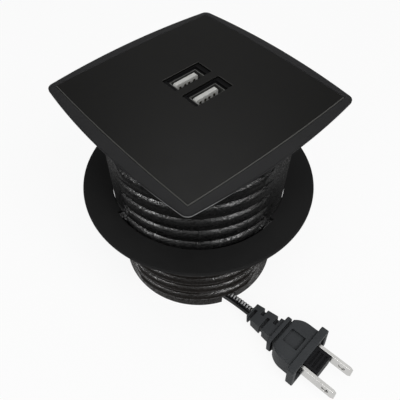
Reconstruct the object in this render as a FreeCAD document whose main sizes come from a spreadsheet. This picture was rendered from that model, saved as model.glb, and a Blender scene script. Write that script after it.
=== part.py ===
import FreeCAD, Part
import math
import os
import re

from Sketcher import Constraint

# Desk USB charging box: a grommet charger that stands in an 80 mm desk hole.
# The origin is at the middle of the barrel's bottom rim, +Z up, millimetres.
# X and Y run along the sides of the square top plate.

V = FreeCAD.Vector
doc = FreeCAD.newDocument("desk_usb_charging_box")
sheet = doc.addObject("Spreadsheet::Sheet", "Dims")

# Driving dimensions. Lengths in millimetres, angles in degrees, counts as numbers.
SIZES = {
    # top plate: square with bowed sides
    "plate_half": 40.2,
    "plate_bulge": 2.95,
    "plate_corner": 3.0,
    "plate_seat": 97.9,
    "seat_step": 0.3,
    "lip_height": 1.2,
    "bezel_rise": 0.55,
    "rim_width": 0.35,
    "inset_half": 37.7,
    "inset_bulge": 1.0,
    "inset_corner": 0.3,
    "panel_thick": 0.8,
    "panel_proud": 0.15,
    "panel_gap": 0.08,
    "panel_chamfer": 0.35,
    # barrel and its interrupted thread
    "barrel_radius": 38.0,
    "barrel_wall": 2.4,
    "rim_chamfer": 0.4,
    "collar_height": 7.0,
    "thread_height": 1.6,
    "thread_base": 4.6,
    "thread_pitch": 7.5,
    "thread_start": 5.95,
    "thread_rows": 12,
    "thread_side": 45.0,
    "thread_fade": 50.0,
    "fade_offset": 10.0,
    # clamp washer and lock nut
    "washer_ring": 11.0,
    "washer_thick": 2.0,
    "washer_top": 54.5,
    "washer_chamfer": 0.35,
    "key_half_angle": 36.0,
    "key_gap": 0.15,
    "run_gap": 0.3,
    "nut_height": 9.8,
    "nut_wall": 3.1,
    "nut_rib": 1.0,
    "nut_ribs": 18,
    "lug_half_angle": 12.0,
    "lug_tip": 2.9,
    "lug_flare": 0.6,
    "lug_root": 0.4,
    "lug_turn": -40.0,
    # plate screws and the bosses that take them
    "boss_inset": 3.4,
    "boss_radius": 3.2,
    "boss_length": 12.0,
    "web_width": 3.0,
    "pad_height": 2.0,
    "plate_screw_radius": 1.5,
    "plate_screw_length": 12.0,
    "plate_head_radius": 2.8,
    "plate_head_height": 1.7,
    "screw_gap": 0.05,
    "fit_gap": 0.1,
    # USB ports
    "port_x": 2.7,
    "port_y": -1.95,
    "port_pitch": 11.6,
    "pocket_width": 18.2,
    "pocket_depth": 7.9,
    "mouth_width": 14.4,
    "mouth_depth": 7.0,
    "mouth_step": 0.8,
    "shell_width": 13.1,
    "shell_depth": 5.72,
    "shell_wall": 0.3,
    "shell_height": 13.5,
    "tongue_width": 11.1,
    "tongue_thick": 1.84,
    "tongue_back_gap": 0.66,
    "tongue_recess": 0.3,
    "tongue_corner": 0.5,
    "insulator_base": 4.4,
    "contact_width": 1.0,
    "contact_thick": 0.15,
    "contact_inner": 1.0,
    "contact_outer": 3.5,
    "contact_set": 1.3,
    # port carrier and port board
    "carrier_width": 21.0,
    "carrier_depth": 22.0,
    "flange_width": 33.0,
    "flange_depth": 28.0,
    "flange_thick": 2.0,
    "post_radius": 2.2,
    "post_x": 11.0,
    "post_y": 11.5,
    "carrier_boss_x": 13.6,
    "carrier_boss_radius": 2.6,
    "carrier_boss_length": 4.0,
    "carrier_screw_radius": 1.25,
    "carrier_screw_length": 6.0,
    "carrier_head_radius": 2.35,
    "carrier_head_height": 0.8,
    "board_thick": 1.6,
    "port_board_width": 27.0,
    "port_board_depth": 28.0,
    "board_screw_radius": 1.0,
    "board_screw_length": 7.0,
    "board_head_radius": 1.9,
    "board_head_height": 1.4,
    # power board and what it carries
    "board_face": 8.0,
    "power_board_half": 26.0,
    "power_board_foot": 22.0,
    "power_board_top": 80.0,
    "rail_thick": 1.2,
    "rail_grip": 1.4,
    "rail_stop": 2.0,
    # bottom cover
    "cover_floor": 13.0,
    "cover_thick": 2.0,
    "cover_boss_inset": 4.1,
    "cover_boss_length": 10.0,
    "cover_screw_radius": 1.5,
    "cover_screw_length": 9.0,
    "cover_head_radius": 2.6,
    "cover_head_height": 1.8,
    "cover_screws": 3,
    "cover_turn": 90.0,
    "box_width": 16.0,
    "box_depth": 14.0,
    "box_wall": 1.5,
    "box_foot": 2.4,
    "cap_thick": 1.5,
    "cap_screw_radius": 1.0,
    "cap_screw_length": 6.5,
    "cap_head_radius": 1.9,
    "cap_head_height": 1.0,
    "cap_post": 2.0,
    # cord gland
    "gland_length": 20.0,
    "gland_root": 4.0,
    "gland_tip": 3.1,
    "gland_neck": 2.9,
    "gland_head": 3.9,
    "gland_head_length": 1.6,
    "gland_rings": 4,
    "gland_ring_depth": 0.5,
    # flat twin cord and the notch in the rim that lets it out
    "cord_width": 4.8,
    "cord_thick": 2.4,
    "notch_width": 6.0,
    "notch_height": 5.9,
    "lead_radius": 0.9,
    "lead_spread": 1.2,
    "lead_bend": 2.4,
    "lead_rise_y": 16.0,
    "lead_top": 28.0,
    # two-blade plug, measured along its own axis from the boot's tail
    "boot_length": 15.0,
    "boot_tail_width": 8.2,
    "boot_tail_thick": 6.0,
    "boot_front_width": 11.0,
    "boot_front_thick": 8.2,
    "boot_slot": 1.5,
    "boot_slot_sink": 1.5,
    "boot_notch": 0.8,
    "boot_first": 0.06,
    "boot_step": 0.235,
    "boot_reach_long": 0.66,
    "boot_reach_short": 0.42,
    "plug_collar_length": 2.0,
    "plug_collar_width": 16.5,
    "plug_collar_thick": 10.4,
    "plug_neck_length": 1.0,
    "plug_neck_width": 13.0,
    "plug_neck_thick": 8.9,
    "plug_shoulder_width": 15.0,
    "plug_shoulder_length": 6.0,
    "plug_shoulder_radius": 9.0,
    "plug_body_length": 11.5,
    "plug_body_width": 20.8,
    "plug_body_thick": 12.4,
    "plug_flange_length": 3.4,
    "plug_flange_width": 26.0,
    "plug_flange_thick": 14.4,
    "plug_corner": 1.2,
    "plug_edge": 1.0,
    "collar_corner": 2.2,
    "face_depth": 2.0,
    "face_rim": 2.2,
    "plug_badge": 7.2,
    "plug_badge_depth": 1.4,
    "wing_rib": 1.2,
    "holder_width": 15.6,
    "holder_thick": 8.4,
    "holder_length": 5.0,
    "nose_length": 6.6,
    "nose_width": 10.3,
    "nose_thick": 7.2,
    "nose_groove": 0.9,
    "nose_rim": 1.2,
    "nose_grooves": 3,
    "blade_pitch": 12.7,
    "blade_width": 6.35,
    "blade_thick": 1.5,
    "blade_length": 16.5,
    "blade_hole_radius": 1.6,
    "blade_hole_reach": 12.0,
    "blade_tip_chamfer": 1.2,
    "blade_gap": 0.05,
}
for row, (alias, number) in enumerate(SIZES.items(), start=1):
    sheet.set(f"A{row}", alias)
    sheet.set(f"B{row}", str(number))
    sheet.setAlias(f"B{row}", alias)
doc.recompute()

# The cord's route, by hand: gland tip, three points on the way out, tail of the plug's boot.
CORD_ROUTE = [
    V(-15.0, -12.0, 6.8),
    V(-15.0, -21.4, 6.8),
    V(-13.4, -31.0, 4.2),
    V(-10.9, -40.4, 3.7),
    V(-10.2, -49.5, 4.6),
]

# Small electronic parts on the power board: name, across the board, height of the middle, sizes.
CANS = {
    "bulk_capacitor": (-16.0, 35.0, 5.0, 16.0),
    "filter_capacitor": (-16.0, 48.0, 4.0, 12.0),
    "output_capacitor_a": (14.5, 70.0, 4.0, 11.5),
    "output_capacitor_b": (4.5, 71.0, 3.15, 11.0),
}
CHIPS = {
    "bridge_rectifier": (0.0, 31.0, 7.0, 2.6, 5.0),
    "switching_chip": (14.0, 46.0, 6.2, 1.7, 5.0),
    "line_fuse": (13.0, 30.0, 8.4, 7.6, 4.2),
    "safety_capacitor": (-16.5, 60.0, 9.0, 8.0, 4.5),
    "charge_chip": (15.0, 58.5, 5.0, 1.5, 4.0),
}
TRANSFORMER = {"height": 52.0, "core_width": 16.0, "core_tall": 14.0, "core_deep": 5.0}
TRANSFORMER.update({"leg": 4.6, "window": 3.5, "yoke": 2.4, "coil_deep": 12.0, "slack": 0.2})


def text(expression):
    """Returns the expression with each size's name pointing at its cell."""
    names = "|".join(sorted(SIZES, key=len, reverse=True))
    return re.sub(rf"\b({names})\b", r"Dims.\1", expression)


def val(expression):
    """Returns the number that an expression of sizes has now."""
    got = sheet.evalExpression(text(str(expression)))
    return float(getattr(got, "Value", got))


def bind(obj, **props):
    """Binds properties of an object to expressions of the sheet's sizes."""
    for prop, expression in props.items():
        obj.setExpression(prop.replace("__", "."), text(str(expression)))


def place(obj, spot):
    """Binds an object's place to three expressions."""
    for axis, expression in zip("xyz", spot):
        obj.setExpression(f"Placement.Base.{axis}", text(str(expression)))


def block(name, low, size):
    """A box from its low corner and its three sizes."""
    obj = doc.addObject("Part::Box", name)
    bind(obj, Length=size[0], Width=size[1], Height=size[2])
    place(obj, low)
    return obj


def centred(name, middle, low_z, size):
    """A box centred on a point in plan, standing on a height."""
    low = (f"({middle[0]}) - ({size[0]})/2", f"({middle[1]}) - ({size[1]})/2", low_z)
    return block(name, low, size)


def rod(name, foot, radius, height, along="z"):
    """A cylinder that starts at a point and runs along +X, -Y or +Z."""
    obj = doc.addObject("Part::Cylinder", name)
    bind(obj, Radius=radius, Height=height)
    turns = {"z": (V(0, 0, 1), 0), "x": (V(0, 1, 0), 90), "-y": (V(1, 0, 0), 90)}
    axis, angle = turns[along]
    obj.Placement = FreeCAD.Placement(V(0, 0, 0), FreeCAD.Rotation(axis, angle))
    place(obj, foot)
    return obj


def fuse(name, *shapes):
    """One solid from several, its seams left as they are."""
    obj = doc.addObject("Part::MultiFuse", name)
    obj.Refine = False
    obj.Shapes = list(shapes)
    return obj


def cut(name, base, *tools):
    """The base with the tools taken out of it."""
    tool = tools[0] if len(tools) == 1 else fuse(name + "_tools", *tools)
    obj = doc.addObject("Part::Cut", name)
    obj.Base = base
    obj.Tool = tool
    return obj


def group(name, *shapes):
    """Separate like solids kept as one node."""
    obj = doc.addObject("Part::Compound", name)
    obj.Links = list(shapes)
    return obj


def feature(name, shape):
    """A shape worked out from the sheet's sizes in this file."""
    obj = doc.addObject("Part::Feature", name)
    obj.Shape = shape
    return obj


def new_body(name):
    return doc.addObject("PartDesign::Body", name)


def origin_plane(body, role):
    return next(f for f in body.Origin.OriginFeatures if f.Role == role)


def new_sketch(body, name, role="XY_Plane", level="0"):
    """A sketch on one of its body's origin planes, lifted to a level."""
    sketch = body.newObject("Sketcher::SketchObject", name)
    sketch.AttachmentSupport = [(origin_plane(body, role), "")]
    sketch.MapMode = "FlatFace"
    sketch.setExpression("AttachmentOffset.Base.z", text(str(level)))
    return sketch


def pin_point(sketch, index, end, across, up):
    """Holds one end of an edge at two expressions."""
    for kind, axis, expression in (("DistanceX", -2, across), ("DistanceY", -1, up)):
        number = val(expression)
        if abs(number) < 1e-9:
            sketch.addConstraint(Constraint("PointOnObject", index, end, axis))
            continue
        held = sketch.addConstraint(Constraint(kind, -1, 1, index, end, number))
        sketch.setExpression(f"Constraints[{held}]", text(str(expression)))


def outline(body, name, points, role="XY_Plane", level="0", arcs=None):
    """A closed outline through points given as expressions.

    arcs maps an edge's number to the radius of the arc that it is; the arc
    bows to the right of the way from its first point to its second.
    """
    sketch = new_sketch(body, name, role, level)
    spots = [V(val(a), val(b), 0) for a, b in points]
    count = len(spots)
    for i in range(count):
        first = spots[i]
        last = spots[(i + 1) % count]
        radius = (arcs or {}).get(i)
        if radius is None:
            sketch.addGeometry(Part.LineSegment(first, last), False)
            continue
        size = val(radius)
        chord = last - first
        side = V(-chord.y, chord.x, 0).normalize()
        reach = math.sqrt(size * size - chord.Length**2 / 4)
        centre = (first + last) * 0.5 + side * reach
        start = math.atan2(first.y - centre.y, first.x - centre.x)
        finish = math.atan2(last.y - centre.y, last.x - centre.x)
        circle = Part.Circle(centre, V(0, 0, 1), size)
        sketch.addGeometry(Part.ArcOfCircle(circle, start, finish), False)
    for i in range(count):
        sketch.addConstraint(Constraint("Coincident", i, 2, (i + 1) % count, 1))
    for i in range(count):
        pin_point(sketch, i, 1, *points[i])
        radius = (arcs or {}).get(i)
        if radius is not None:
            held = sketch.addConstraint(Constraint("Radius", i, val(radius)))
            sketch.setExpression(f"Constraints[{held}]", text(str(radius)))
    return sketch


def rectangle(body, name, middle, size, role="XY_Plane", level="0"):
    """A rectangle's outline about a middle point."""
    left = f"({middle[0]}) - ({size[0]})/2"
    right = f"({middle[0]}) + ({size[0]})/2"
    low = f"({middle[1]}) - ({size[1]})/2"
    high = f"({middle[1]}) + ({size[1]})/2"
    points = [(left, low), (right, low), (right, high), (left, high)]
    return outline(body, name, points, role, level)


def bowed_square(body, name, half, bulge, corner, level):
    """A square outline whose sides bow outward, with rounded corners.

    half is the distance to the corner where two sides would meet, and bulge
    is how far the middle of a side stands outside that.
    """
    side_radius = f"((({half})^2 + ({bulge})^2) / (2 * ({bulge})))"
    centre_reach = f"({side_radius} - ({half}) - ({bulge}))"
    big = val(side_radius)
    reach = val(centre_reach)
    small = val(corner)
    inner = big - small
    spot = (-2 * reach + math.sqrt(4 * reach**2 - 8 * (reach**2 - inner**2))) / 4
    swing = math.atan2(spot, spot + reach)
    sketch = new_sketch(body, name, "XY_Plane", level)
    for i in range(4):
        turn = i * math.pi / 2
        middle = turn - math.pi / 2
        centre = V(-reach * math.cos(middle), -reach * math.sin(middle), 0)
        circle = Part.Circle(centre, V(0, 0, 1), big)
        sketch.addGeometry(Part.ArcOfCircle(circle, middle - swing, middle + swing), False)
        diagonal = turn - math.pi / 4
        round_centre = V(math.cos(diagonal), math.sin(diagonal), 0) * (spot * math.sqrt(2))
        circle = Part.Circle(round_centre, V(0, 0, 1), small)
        opening = math.pi / 4 - swing
        arc = Part.ArcOfCircle(circle, diagonal - opening, diagonal + opening)
        sketch.addGeometry(arc, False)
    for i in range(8):
        sketch.addConstraint(Constraint("Tangent", i, 2, (i + 1) % 8, 1))
    for i in range(4):
        side = 2 * i
        if i == 0:
            held = sketch.addConstraint(Constraint("Radius", side, big))
            sketch.setExpression(f"Constraints[{held}]", text(side_radius))
            held = sketch.addConstraint(Constraint("Radius", side + 1, small))
            sketch.setExpression(f"Constraints[{held}]", text(corner))
        else:
            sketch.addConstraint(Constraint("Equal", 0, side))
            sketch.addConstraint(Constraint("Equal", 1, side + 1))
        upright = i % 2 == 0
        sign = 1 if i in (0, 3) else -1
        sketch.addConstraint(Constraint("PointOnObject", side, 3, -2 if upright else -1))
        kind = "DistanceY" if upright else "DistanceX"
        held = sketch.addConstraint(Constraint(kind, -1, 1, side, 3, sign * reach))
        sketch.setExpression(f"Constraints[{held}]", text(f"{sign} * {centre_reach}"))
    return sketch


def pad(body, sketch, length, both_ways=False):
    """Material from a sketch, upward or half each way."""
    grown = body.newObject("PartDesign::Pad", sketch.Name + "_pad")
    grown.Profile = sketch
    grown.setExpression("Length", text(str(length)))
    grown.Midplane = both_ways
    return grown


def pocket(body, sketch, depth, upward=False):
    """Material taken away below a sketch, or above it."""
    doc.recompute()
    before = body.Shape.Volume
    hole = body.newObject("PartDesign::Pocket", sketch.Name + "_pocket")
    hole.Profile = sketch
    hole.setExpression("Length", text(str(depth)))
    hole.Reversed = upward
    doc.recompute()
    if body.Shape.Volume >= before:
        raise ValueError(f"{hole.Name} takes nothing away")
    return hole


def spin(body, sketch, axis="V_Axis"):
    """A solid of revolution from a profile."""
    turned = body.newObject("PartDesign::Revolution", sketch.Name + "_turned")
    turned.Profile = sketch
    turned.ReferenceAxis = (sketch, [axis])
    turned.Angle = 360.0
    return turned


def loft(body, first, last):
    """Straight walls from one outline to another."""
    grown = body.newObject("PartDesign::AdditiveLoft", first.Name + "_loft")
    grown.Profile = first
    grown.Sections = [last]
    grown.Ruled = True
    return grown


def ease(name, base, size, test, rounded=True):
    """Rounds or bevels those edges of a shape whose boxes pass a test."""
    doc.recompute()
    amount = val(size)
    picked = [i for i, edge in enumerate(base.Shape.Edges, 1) if test(edge.BoundBox)]
    if not picked:
        raise ValueError(f"{name} finds no edge")
    obj = doc.addObject("Part::Fillet" if rounded else "Part::Chamfer", name)
    obj.Base = base
    obj.Edges = [(i, amount, amount) for i in picked]
    return obj


def polar(body, seed, count):
    """Copies of a feature evenly round the body's Z axis."""
    ring = body.newObject("PartDesign::PolarPattern", seed.Name + "_ring")
    ring.Originals = [seed]
    axis = next(f for f in body.Origin.OriginFeatures if f.Role == "Z_Axis")
    ring.Axis = (axis, [""])
    ring.Angle = 360.0
    ring.setExpression("Occurrences", text(str(count)))
    body.Tip = ring
    return ring


# Levels and radii that follow from the sizes.
LIP_TOP = "(plate_seat + lip_height)"
RIM_TOP = f"({LIP_TOP} + bezel_rise)"
PANEL_TOP = f"({RIM_TOP} + panel_proud)"
RECESS = f"({PANEL_TOP} - panel_thick)"
SHELL_TOP = f"({RECESS} - mouth_step)"
BOARD_TOP = f"({SHELL_TOP} - shell_height)"
BOARD_LOW = f"({BOARD_TOP} - board_thick)"
UNDER = "(plate_seat + seat_step)"
FLANGE_LOW = f"({UNDER} - flange_thick)"
BORE = "(barrel_radius - barrel_wall)"
CREST = "(barrel_radius + thread_height)"
SEAT_RADIUS = f"({CREST} + fit_gap)"
CARRIER_Y = "(port_y + port_pitch/2)"
PORTS = {"front": "port_y", "rear": "(port_y + port_pitch)"}
BOSS_TOP = "(plate_seat - pad_height)"
COVER_TOP = "(cover_floor + cover_thick)"
WASHER_LOW = "(washer_top - washer_thick)"
NUT_LOW = f"({WASHER_LOW} - nut_height)"
RUN_RADIUS = f"({CREST} + run_gap)"
WASHER_RADIUS = f"({RUN_RADIUS} + washer_ring)"
BOSS_CIRCLE = f"({BORE} - boss_inset)"
COVER_CIRCLE = f"({BORE} - cover_boss_inset)"
DIAGONALS = [45, 135, 225, 315]

SMALL = 0.001

nodes = []


def keep(obj, label):
    """Marks an object as a piece of the product, under its own name."""
    obj.Label = label
    nodes.append(obj)
    return obj


def at_angle(radius, degrees):
    """Two expressions for a point on a circle."""
    return (f"({radius}) * cos(({degrees}) * 1 deg)", f"({radius}) * sin(({degrees}) * 1 deg)")


def cross_recess(name, middle, top, head_radius, downward=True):
    """The cross slot in a screw's head."""
    arm = f"({head_radius}) * 1.1"
    width = f"({head_radius}) * 0.28"
    deep = f"({head_radius}) * 0.35"
    low = f"({top}) - ({deep})" if downward else f"({top})"
    a = centred(name + "_a", middle, low, (arm, width, deep))
    b = centred(name + "_b", middle, low, (width, arm, deep))
    return a, b


def cone(name, middle, low, low_radius, top_radius, height):
    """A cone standing on a height."""
    obj = doc.addObject("Part::Cone", name)
    bind(obj, Radius1=low_radius, Radius2=top_radius, Height=height)
    place(obj, (*middle, low))
    return obj


def flat_screw(name, middle, face, size, head_up=True):
    """A flat-headed screw, flush with a level; size names its four dimensions."""
    radius = size + "_radius"
    stem = size.replace("_screw", "")
    head_radius = stem + "_head_radius"
    head_height = stem + "_head_height"
    length = size + "_length"
    if head_up:
        head = cone(name + "_head", middle, f"({face}) - {head_height}", radius, head_radius, head_height)
        shank = rod(name + "_shank", (*middle, f"({face}) - {length}"), radius, length)
    else:
        head = cone(name + "_head", middle, face, head_radius, radius, head_height)
        shank = rod(name + "_shank", (*middle, face), radius, length)
    recess = cross_recess(name, middle, face, head_radius, head_up)
    return cut(name, fuse(name + "_blank", head, shank), *recess)


def pan_screw(name, middle, seat, size):
    """A pan-headed screw, driven upward, its head under a level; size names its dimensions."""
    stem = size.replace("_screw", "")
    head_radius = stem + "_head_radius"
    head_height = stem + "_head_height"
    low = f"({seat}) - {head_height}"
    head = rod(name + "_head", (*middle, low), head_radius, head_height)
    shank = rod(name + "_shank", (*middle, seat), size + "_radius", size + "_length")
    recess = cross_recess(name, middle, low, head_radius, downward=False)
    return cut(name, fuse(name + "_blank", head, shank), *recess)


def web(name, degrees, reach, low, height):
    """A rib that ties a boss to the barrel's wall, along one radius."""
    obj = doc.addObject("Part::Box", name)
    bind(obj, Length=f"{BORE} + barrel_wall/4 - {reach}", Width="web_width", Height=height)
    obj.Placement.Rotation = FreeCAD.Rotation(V(0, 0, 1), val(degrees))
    foot_x = f"{reach} * cos(({degrees}) * 1 deg) + web_width/2 * sin(({degrees}) * 1 deg)"
    foot_y = f"{reach} * sin(({degrees}) * 1 deg) - web_width/2 * cos(({degrees}) * 1 deg)"
    place(obj, (foot_x, foot_y, low))
    return obj


# Barrel: wall, collar for the desk hole, bosses, board rails, thread ridges, cord notch.
def thread_ridge():
    """One stretch of thread ridge, fading into the wall at both ends, about the +X side."""
    wall = val("barrel_radius")
    rise = val("thread_height")
    half = val("thread_base") / 2
    pitch = val("thread_pitch")
    fade = math.radians(val("thread_fade"))
    offset = val("fade_offset")
    span = fade + math.radians(4.0)
    root = wall - val("barrel_wall") / 4
    helix = Part.makeHelix(pitch, pitch * span / math.pi, wall)
    corner_low = V(root, 0, -half)
    corner_high = V(root, 0, half)
    edges = [
        Part.LineSegment(corner_low, V(wall, 0, -half)).toShape(),
        Part.Arc(V(wall, 0, -half), V(wall + rise, 0, 0), V(wall, 0, half)).toShape(),
        Part.LineSegment(V(wall, 0, half), corner_high).toShape(),
        Part.LineSegment(corner_high, corner_low).toShape(),
    ]
    ridge = Part.Wire(helix).makePipeShell([Part.Wire(edges)], True, True)
    ridge.translate(V(0, 0, -pitch * span / (2 * math.pi)))
    ridge.rotate(V(0, 0, 0), V(0, 0, 1), -math.degrees(span))
    reach = math.sqrt(wall**2 + offset**2 - 2 * wall * offset * math.cos(fade))
    taper = Part.makeCylinder(reach, 4 * pitch, V(offset, 0, -2 * pitch))
    return ridge.common(taper)


def make_barrel():
    """Returns the barrel with everything moulded on it."""
    body = new_body("barrel_wall_body")
    top = UNDER
    collar_low = "(plate_seat - collar_height)"
    points = [
        (BORE, "0"),
        ("barrel_radius - rim_chamfer", "0"),
        ("barrel_radius", "rim_chamfer"),
        ("barrel_radius", f"{collar_low} - thread_height"),
        (CREST, collar_low),
        (CREST, top),
        (BORE, top),
    ]
    spin(body, outline(body, "barrel_profile", points, "XZ_Plane"))
    parts = [body]
    cuts = []
    for degrees in DIAGONALS:
        spot = at_angle(BOSS_CIRCLE, degrees)
        boss_low = f"{BOSS_TOP} - boss_length"
        parts.append(rod(f"plate_boss_{degrees}", (*spot, boss_low), "boss_radius", "boss_length"))
        parts.append(web(f"plate_web_{degrees}", degrees, BOSS_CIRCLE, boss_low, "boss_length"))
        low = f"({RECESS} - plate_screw_length - 0.5)"
        deep = f"({BOSS_TOP} - {low})"
        cuts.append(rod(f"plate_pilot_{degrees}", (*spot, low), "plate_screw_radius + screw_gap", deep))
    for i in range(int(val("cover_screws"))):
        degrees = f"(cover_turn + {i} * 360 / cover_screws)"
        spot = at_angle(COVER_CIRCLE, degrees)
        parts.append(rod(f"cover_boss_{i}", (*spot, COVER_TOP), "boss_radius", "cover_boss_length"))
        parts.append(web(f"cover_web_{i}", degrees, COVER_CIRCLE, COVER_TOP, "cover_boss_length"))
        deep = "(cover_screw_length - cover_thick + 0.5)"
        cuts.append(rod(f"cover_pilot_{i}", (*spot, COVER_TOP), "cover_screw_radius + screw_gap", deep))
    for side in (-1, 1):
        reach = f"(power_board_half - rail_grip)"
        width = f"({BORE} + 0.6 - {reach})"
        low_x = reach if side > 0 else f"(-({reach}) - {width})"
        tall = "(power_board_top - power_board_foot + rail_stop)"
        foot = "(power_board_foot - rail_stop)"
        front = "(board_face - fit_gap - rail_thick)"
        back = "(board_face + board_thick + fit_gap)"
        for tag, low_y in (("front", front), ("back", back)):
            name = f"rail_{tag}_{'left' if side < 0 else 'right'}"
            parts.append(block(name, (low_x, low_y, foot), (width, "rail_thick", tall)))
        stop = (width, f"({back} - {front})", "rail_stop")
        parts.append(block(f"rail_stop_{'left' if side < 0 else 'right'}", (low_x, front, foot), stop))
    trim = rod("barrel_trim", ("0", "0", "0"), CREST, UNDER)
    inside = doc.addObject("Part::MultiCommon", "barrel_inside")
    inside.Shapes = [fuse("barrel_blank", *parts), trim]
    ridge = thread_ridge()
    pitch = val("thread_pitch")
    ridges = []
    for turn, rows in ((0, val("thread_rows")), (1, val("thread_rows") - 1)):
        for i in range(int(rows)):
            copy = ridge.copy()
            copy.rotate(V(0, 0, 0), V(0, 0, 1), val("thread_side") + 180 * turn)
            copy.translate(V(0, 0, val("thread_start") + pitch * (i + turn / 2)))
            ridges.append(copy)
    ridge_part = feature("thread_ridges", Part.makeCompound(ridges))
    crossing, heading = cord_crossing()
    notch = doc.addObject("Part::Box", "cord_notch")
    bind(notch, Length="barrel_wall * 5", Width="notch_width", Height="notch_height")
    turn = FreeCAD.Rotation(V(0, 0, 1), heading)
    corner = crossing + turn.multVec(V(-val("barrel_wall") * 2.5, -val("notch_width") / 2, 0))
    notch.Placement = FreeCAD.Placement(corner, turn)
    return cut("threaded_barrel", fuse("barrel_solid", inside, ridge_part), notch, *cuts)


def cord_crossing():
    """Returns where the cord crosses the middle of the barrel's wall, in plan, and its heading."""
    target = val("barrel_radius - barrel_wall/2")
    for first, last in zip(CORD_ROUTE, CORD_ROUTE[1:]):
        steps = [first + (last - first) * (i / 50) for i in range(51)]
        for spot in steps:
            flat = V(spot.x, spot.y, 0)
            if flat.Length >= target:
                return flat, math.degrees(math.atan2(last.y - first.y, last.x - first.x))
    raise ValueError("the cord's route stays inside the barrel")


keep(make_barrel(), "threaded_barrel")


# Top plate: bezel with a recess, and the smooth panel laid in it.
def make_bezel():
    """Returns the square bezel."""
    body = new_body("bezel_body")
    foot = bowed_square(body, "bezel_foot", "plate_half", "plate_bulge", "plate_corner", "plate_seat")
    pad(body, foot, "lip_height")
    doc.recompute()
    edge = bowed_square(body, "bezel_edge", "plate_half", "plate_bulge", "plate_corner", LIP_TOP)
    rim_half = "(inset_half + rim_width)"
    rim_corner = "(inset_corner + rim_width)"
    rim = bowed_square(body, "bezel_rim", rim_half, "inset_bulge", rim_corner, RIM_TOP)
    loft(body, edge, rim)
    doc.recompute()
    seat = new_sketch(body, "bezel_seat", "XY_Plane", "plate_seat")
    seat.addGeometry(Part.Circle(V(0, 0, 0), V(0, 0, 1), val(SEAT_RADIUS)), False)
    seat.addConstraint(Constraint("Coincident", 0, 3, -1, 1))
    held = seat.addConstraint(Constraint("Radius", 0, val(SEAT_RADIUS)))
    seat.setExpression(f"Constraints[{held}]", text(SEAT_RADIUS))
    pocket(body, seat, "seat_step", upward=True)
    recess = bowed_square(body, "bezel_recess", "inset_half", "inset_bulge", "inset_corner", RIM_TOP)
    pocket(body, recess, f"{RIM_TOP} - {RECESS}")
    middle = ("port_x", CARRIER_Y)
    size = ("carrier_width + 2 * fit_gap", "carrier_depth + 2 * fit_gap")
    window = rectangle(body, "bezel_window", middle, size, level=RECESS)
    pocket(body, window, f"{RECESS} - plate_seat + 1")
    pads = []
    holes = []
    for degrees in DIAGONALS:
        spot = at_angle(BOSS_CIRCLE, degrees)
        pad_size = ("boss_radius - fit_gap", "pad_height + seat_step")
        pads.append(rod(f"bezel_pad_{degrees}", (*spot, BOSS_TOP), *pad_size))
        clear = "plate_screw_radius + fit_gap"
        hole = rod(f"bezel_hole_{degrees}", (*spot, f"{BOSS_TOP} - 1"), clear, "pad_height + 4")
        wide = "plate_head_radius + fit_gap"
        low = f"{RECESS} - plate_head_height"
        sink = cone(f"bezel_sink_{degrees}", spot, low, clear, wide, "plate_head_height")
        holes += [hole, sink]
    for side in (-1, 1):
        spot = (f"port_x + {side} * carrier_boss_x", CARRIER_Y)
        clear = "carrier_screw_radius + fit_gap"
        hole = rod(f"bezel_carrier_hole_{side + 1}", (*spot, "plate_seat - 1"), clear, "3")
        wide = "carrier_head_radius + fit_gap"
        low = f"{RECESS} - carrier_head_height"
        sink = cone(f"bezel_carrier_sink_{side + 1}", spot, low, clear, wide, "carrier_head_height")
        holes += [hole, sink]
    return cut("top_bezel", fuse("bezel_blank", body, *pads), *holes)


def make_panel():
    """Returns the flush panel with its two port pockets."""
    body = new_body("inset_panel_body")
    half = "(inset_half - panel_gap)"
    foot = bowed_square(body, "panel_foot", half, "inset_bulge", "inset_corner", RECESS)
    pad(body, foot, "panel_thick - panel_chamfer")
    doc.recompute()
    shoulder_level = f"({PANEL_TOP} - panel_chamfer)"
    shoulder = bowed_square(body, "panel_shoulder", half, "inset_bulge", "inset_corner", shoulder_level)
    top_half = f"({half} - panel_chamfer)"
    face = bowed_square(body, "panel_face", top_half, "inset_bulge", "inset_corner", PANEL_TOP)
    loft(body, shoulder, face)
    doc.recompute()
    for tag, middle_y in PORTS.items():
        size = ("pocket_width", "pocket_depth")
        hole = rectangle(body, f"panel_pocket_{tag}", ("port_x", middle_y), size, level=PANEL_TOP)
        pocket(body, hole, "panel_thick + 0.5")
    return body


keep(make_bezel(), "top_bezel")
keep(make_panel(), "inset_panel")
plate_screws = []
for degrees in DIAGONALS:
    middle = at_angle(BOSS_CIRCLE, degrees)
    plate_screws.append(flat_screw(f"plate_screw_{degrees}", middle, RECESS, "plate_screw"))
keep(group("plate_screws", *plate_screws), "plate_screws")


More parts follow.
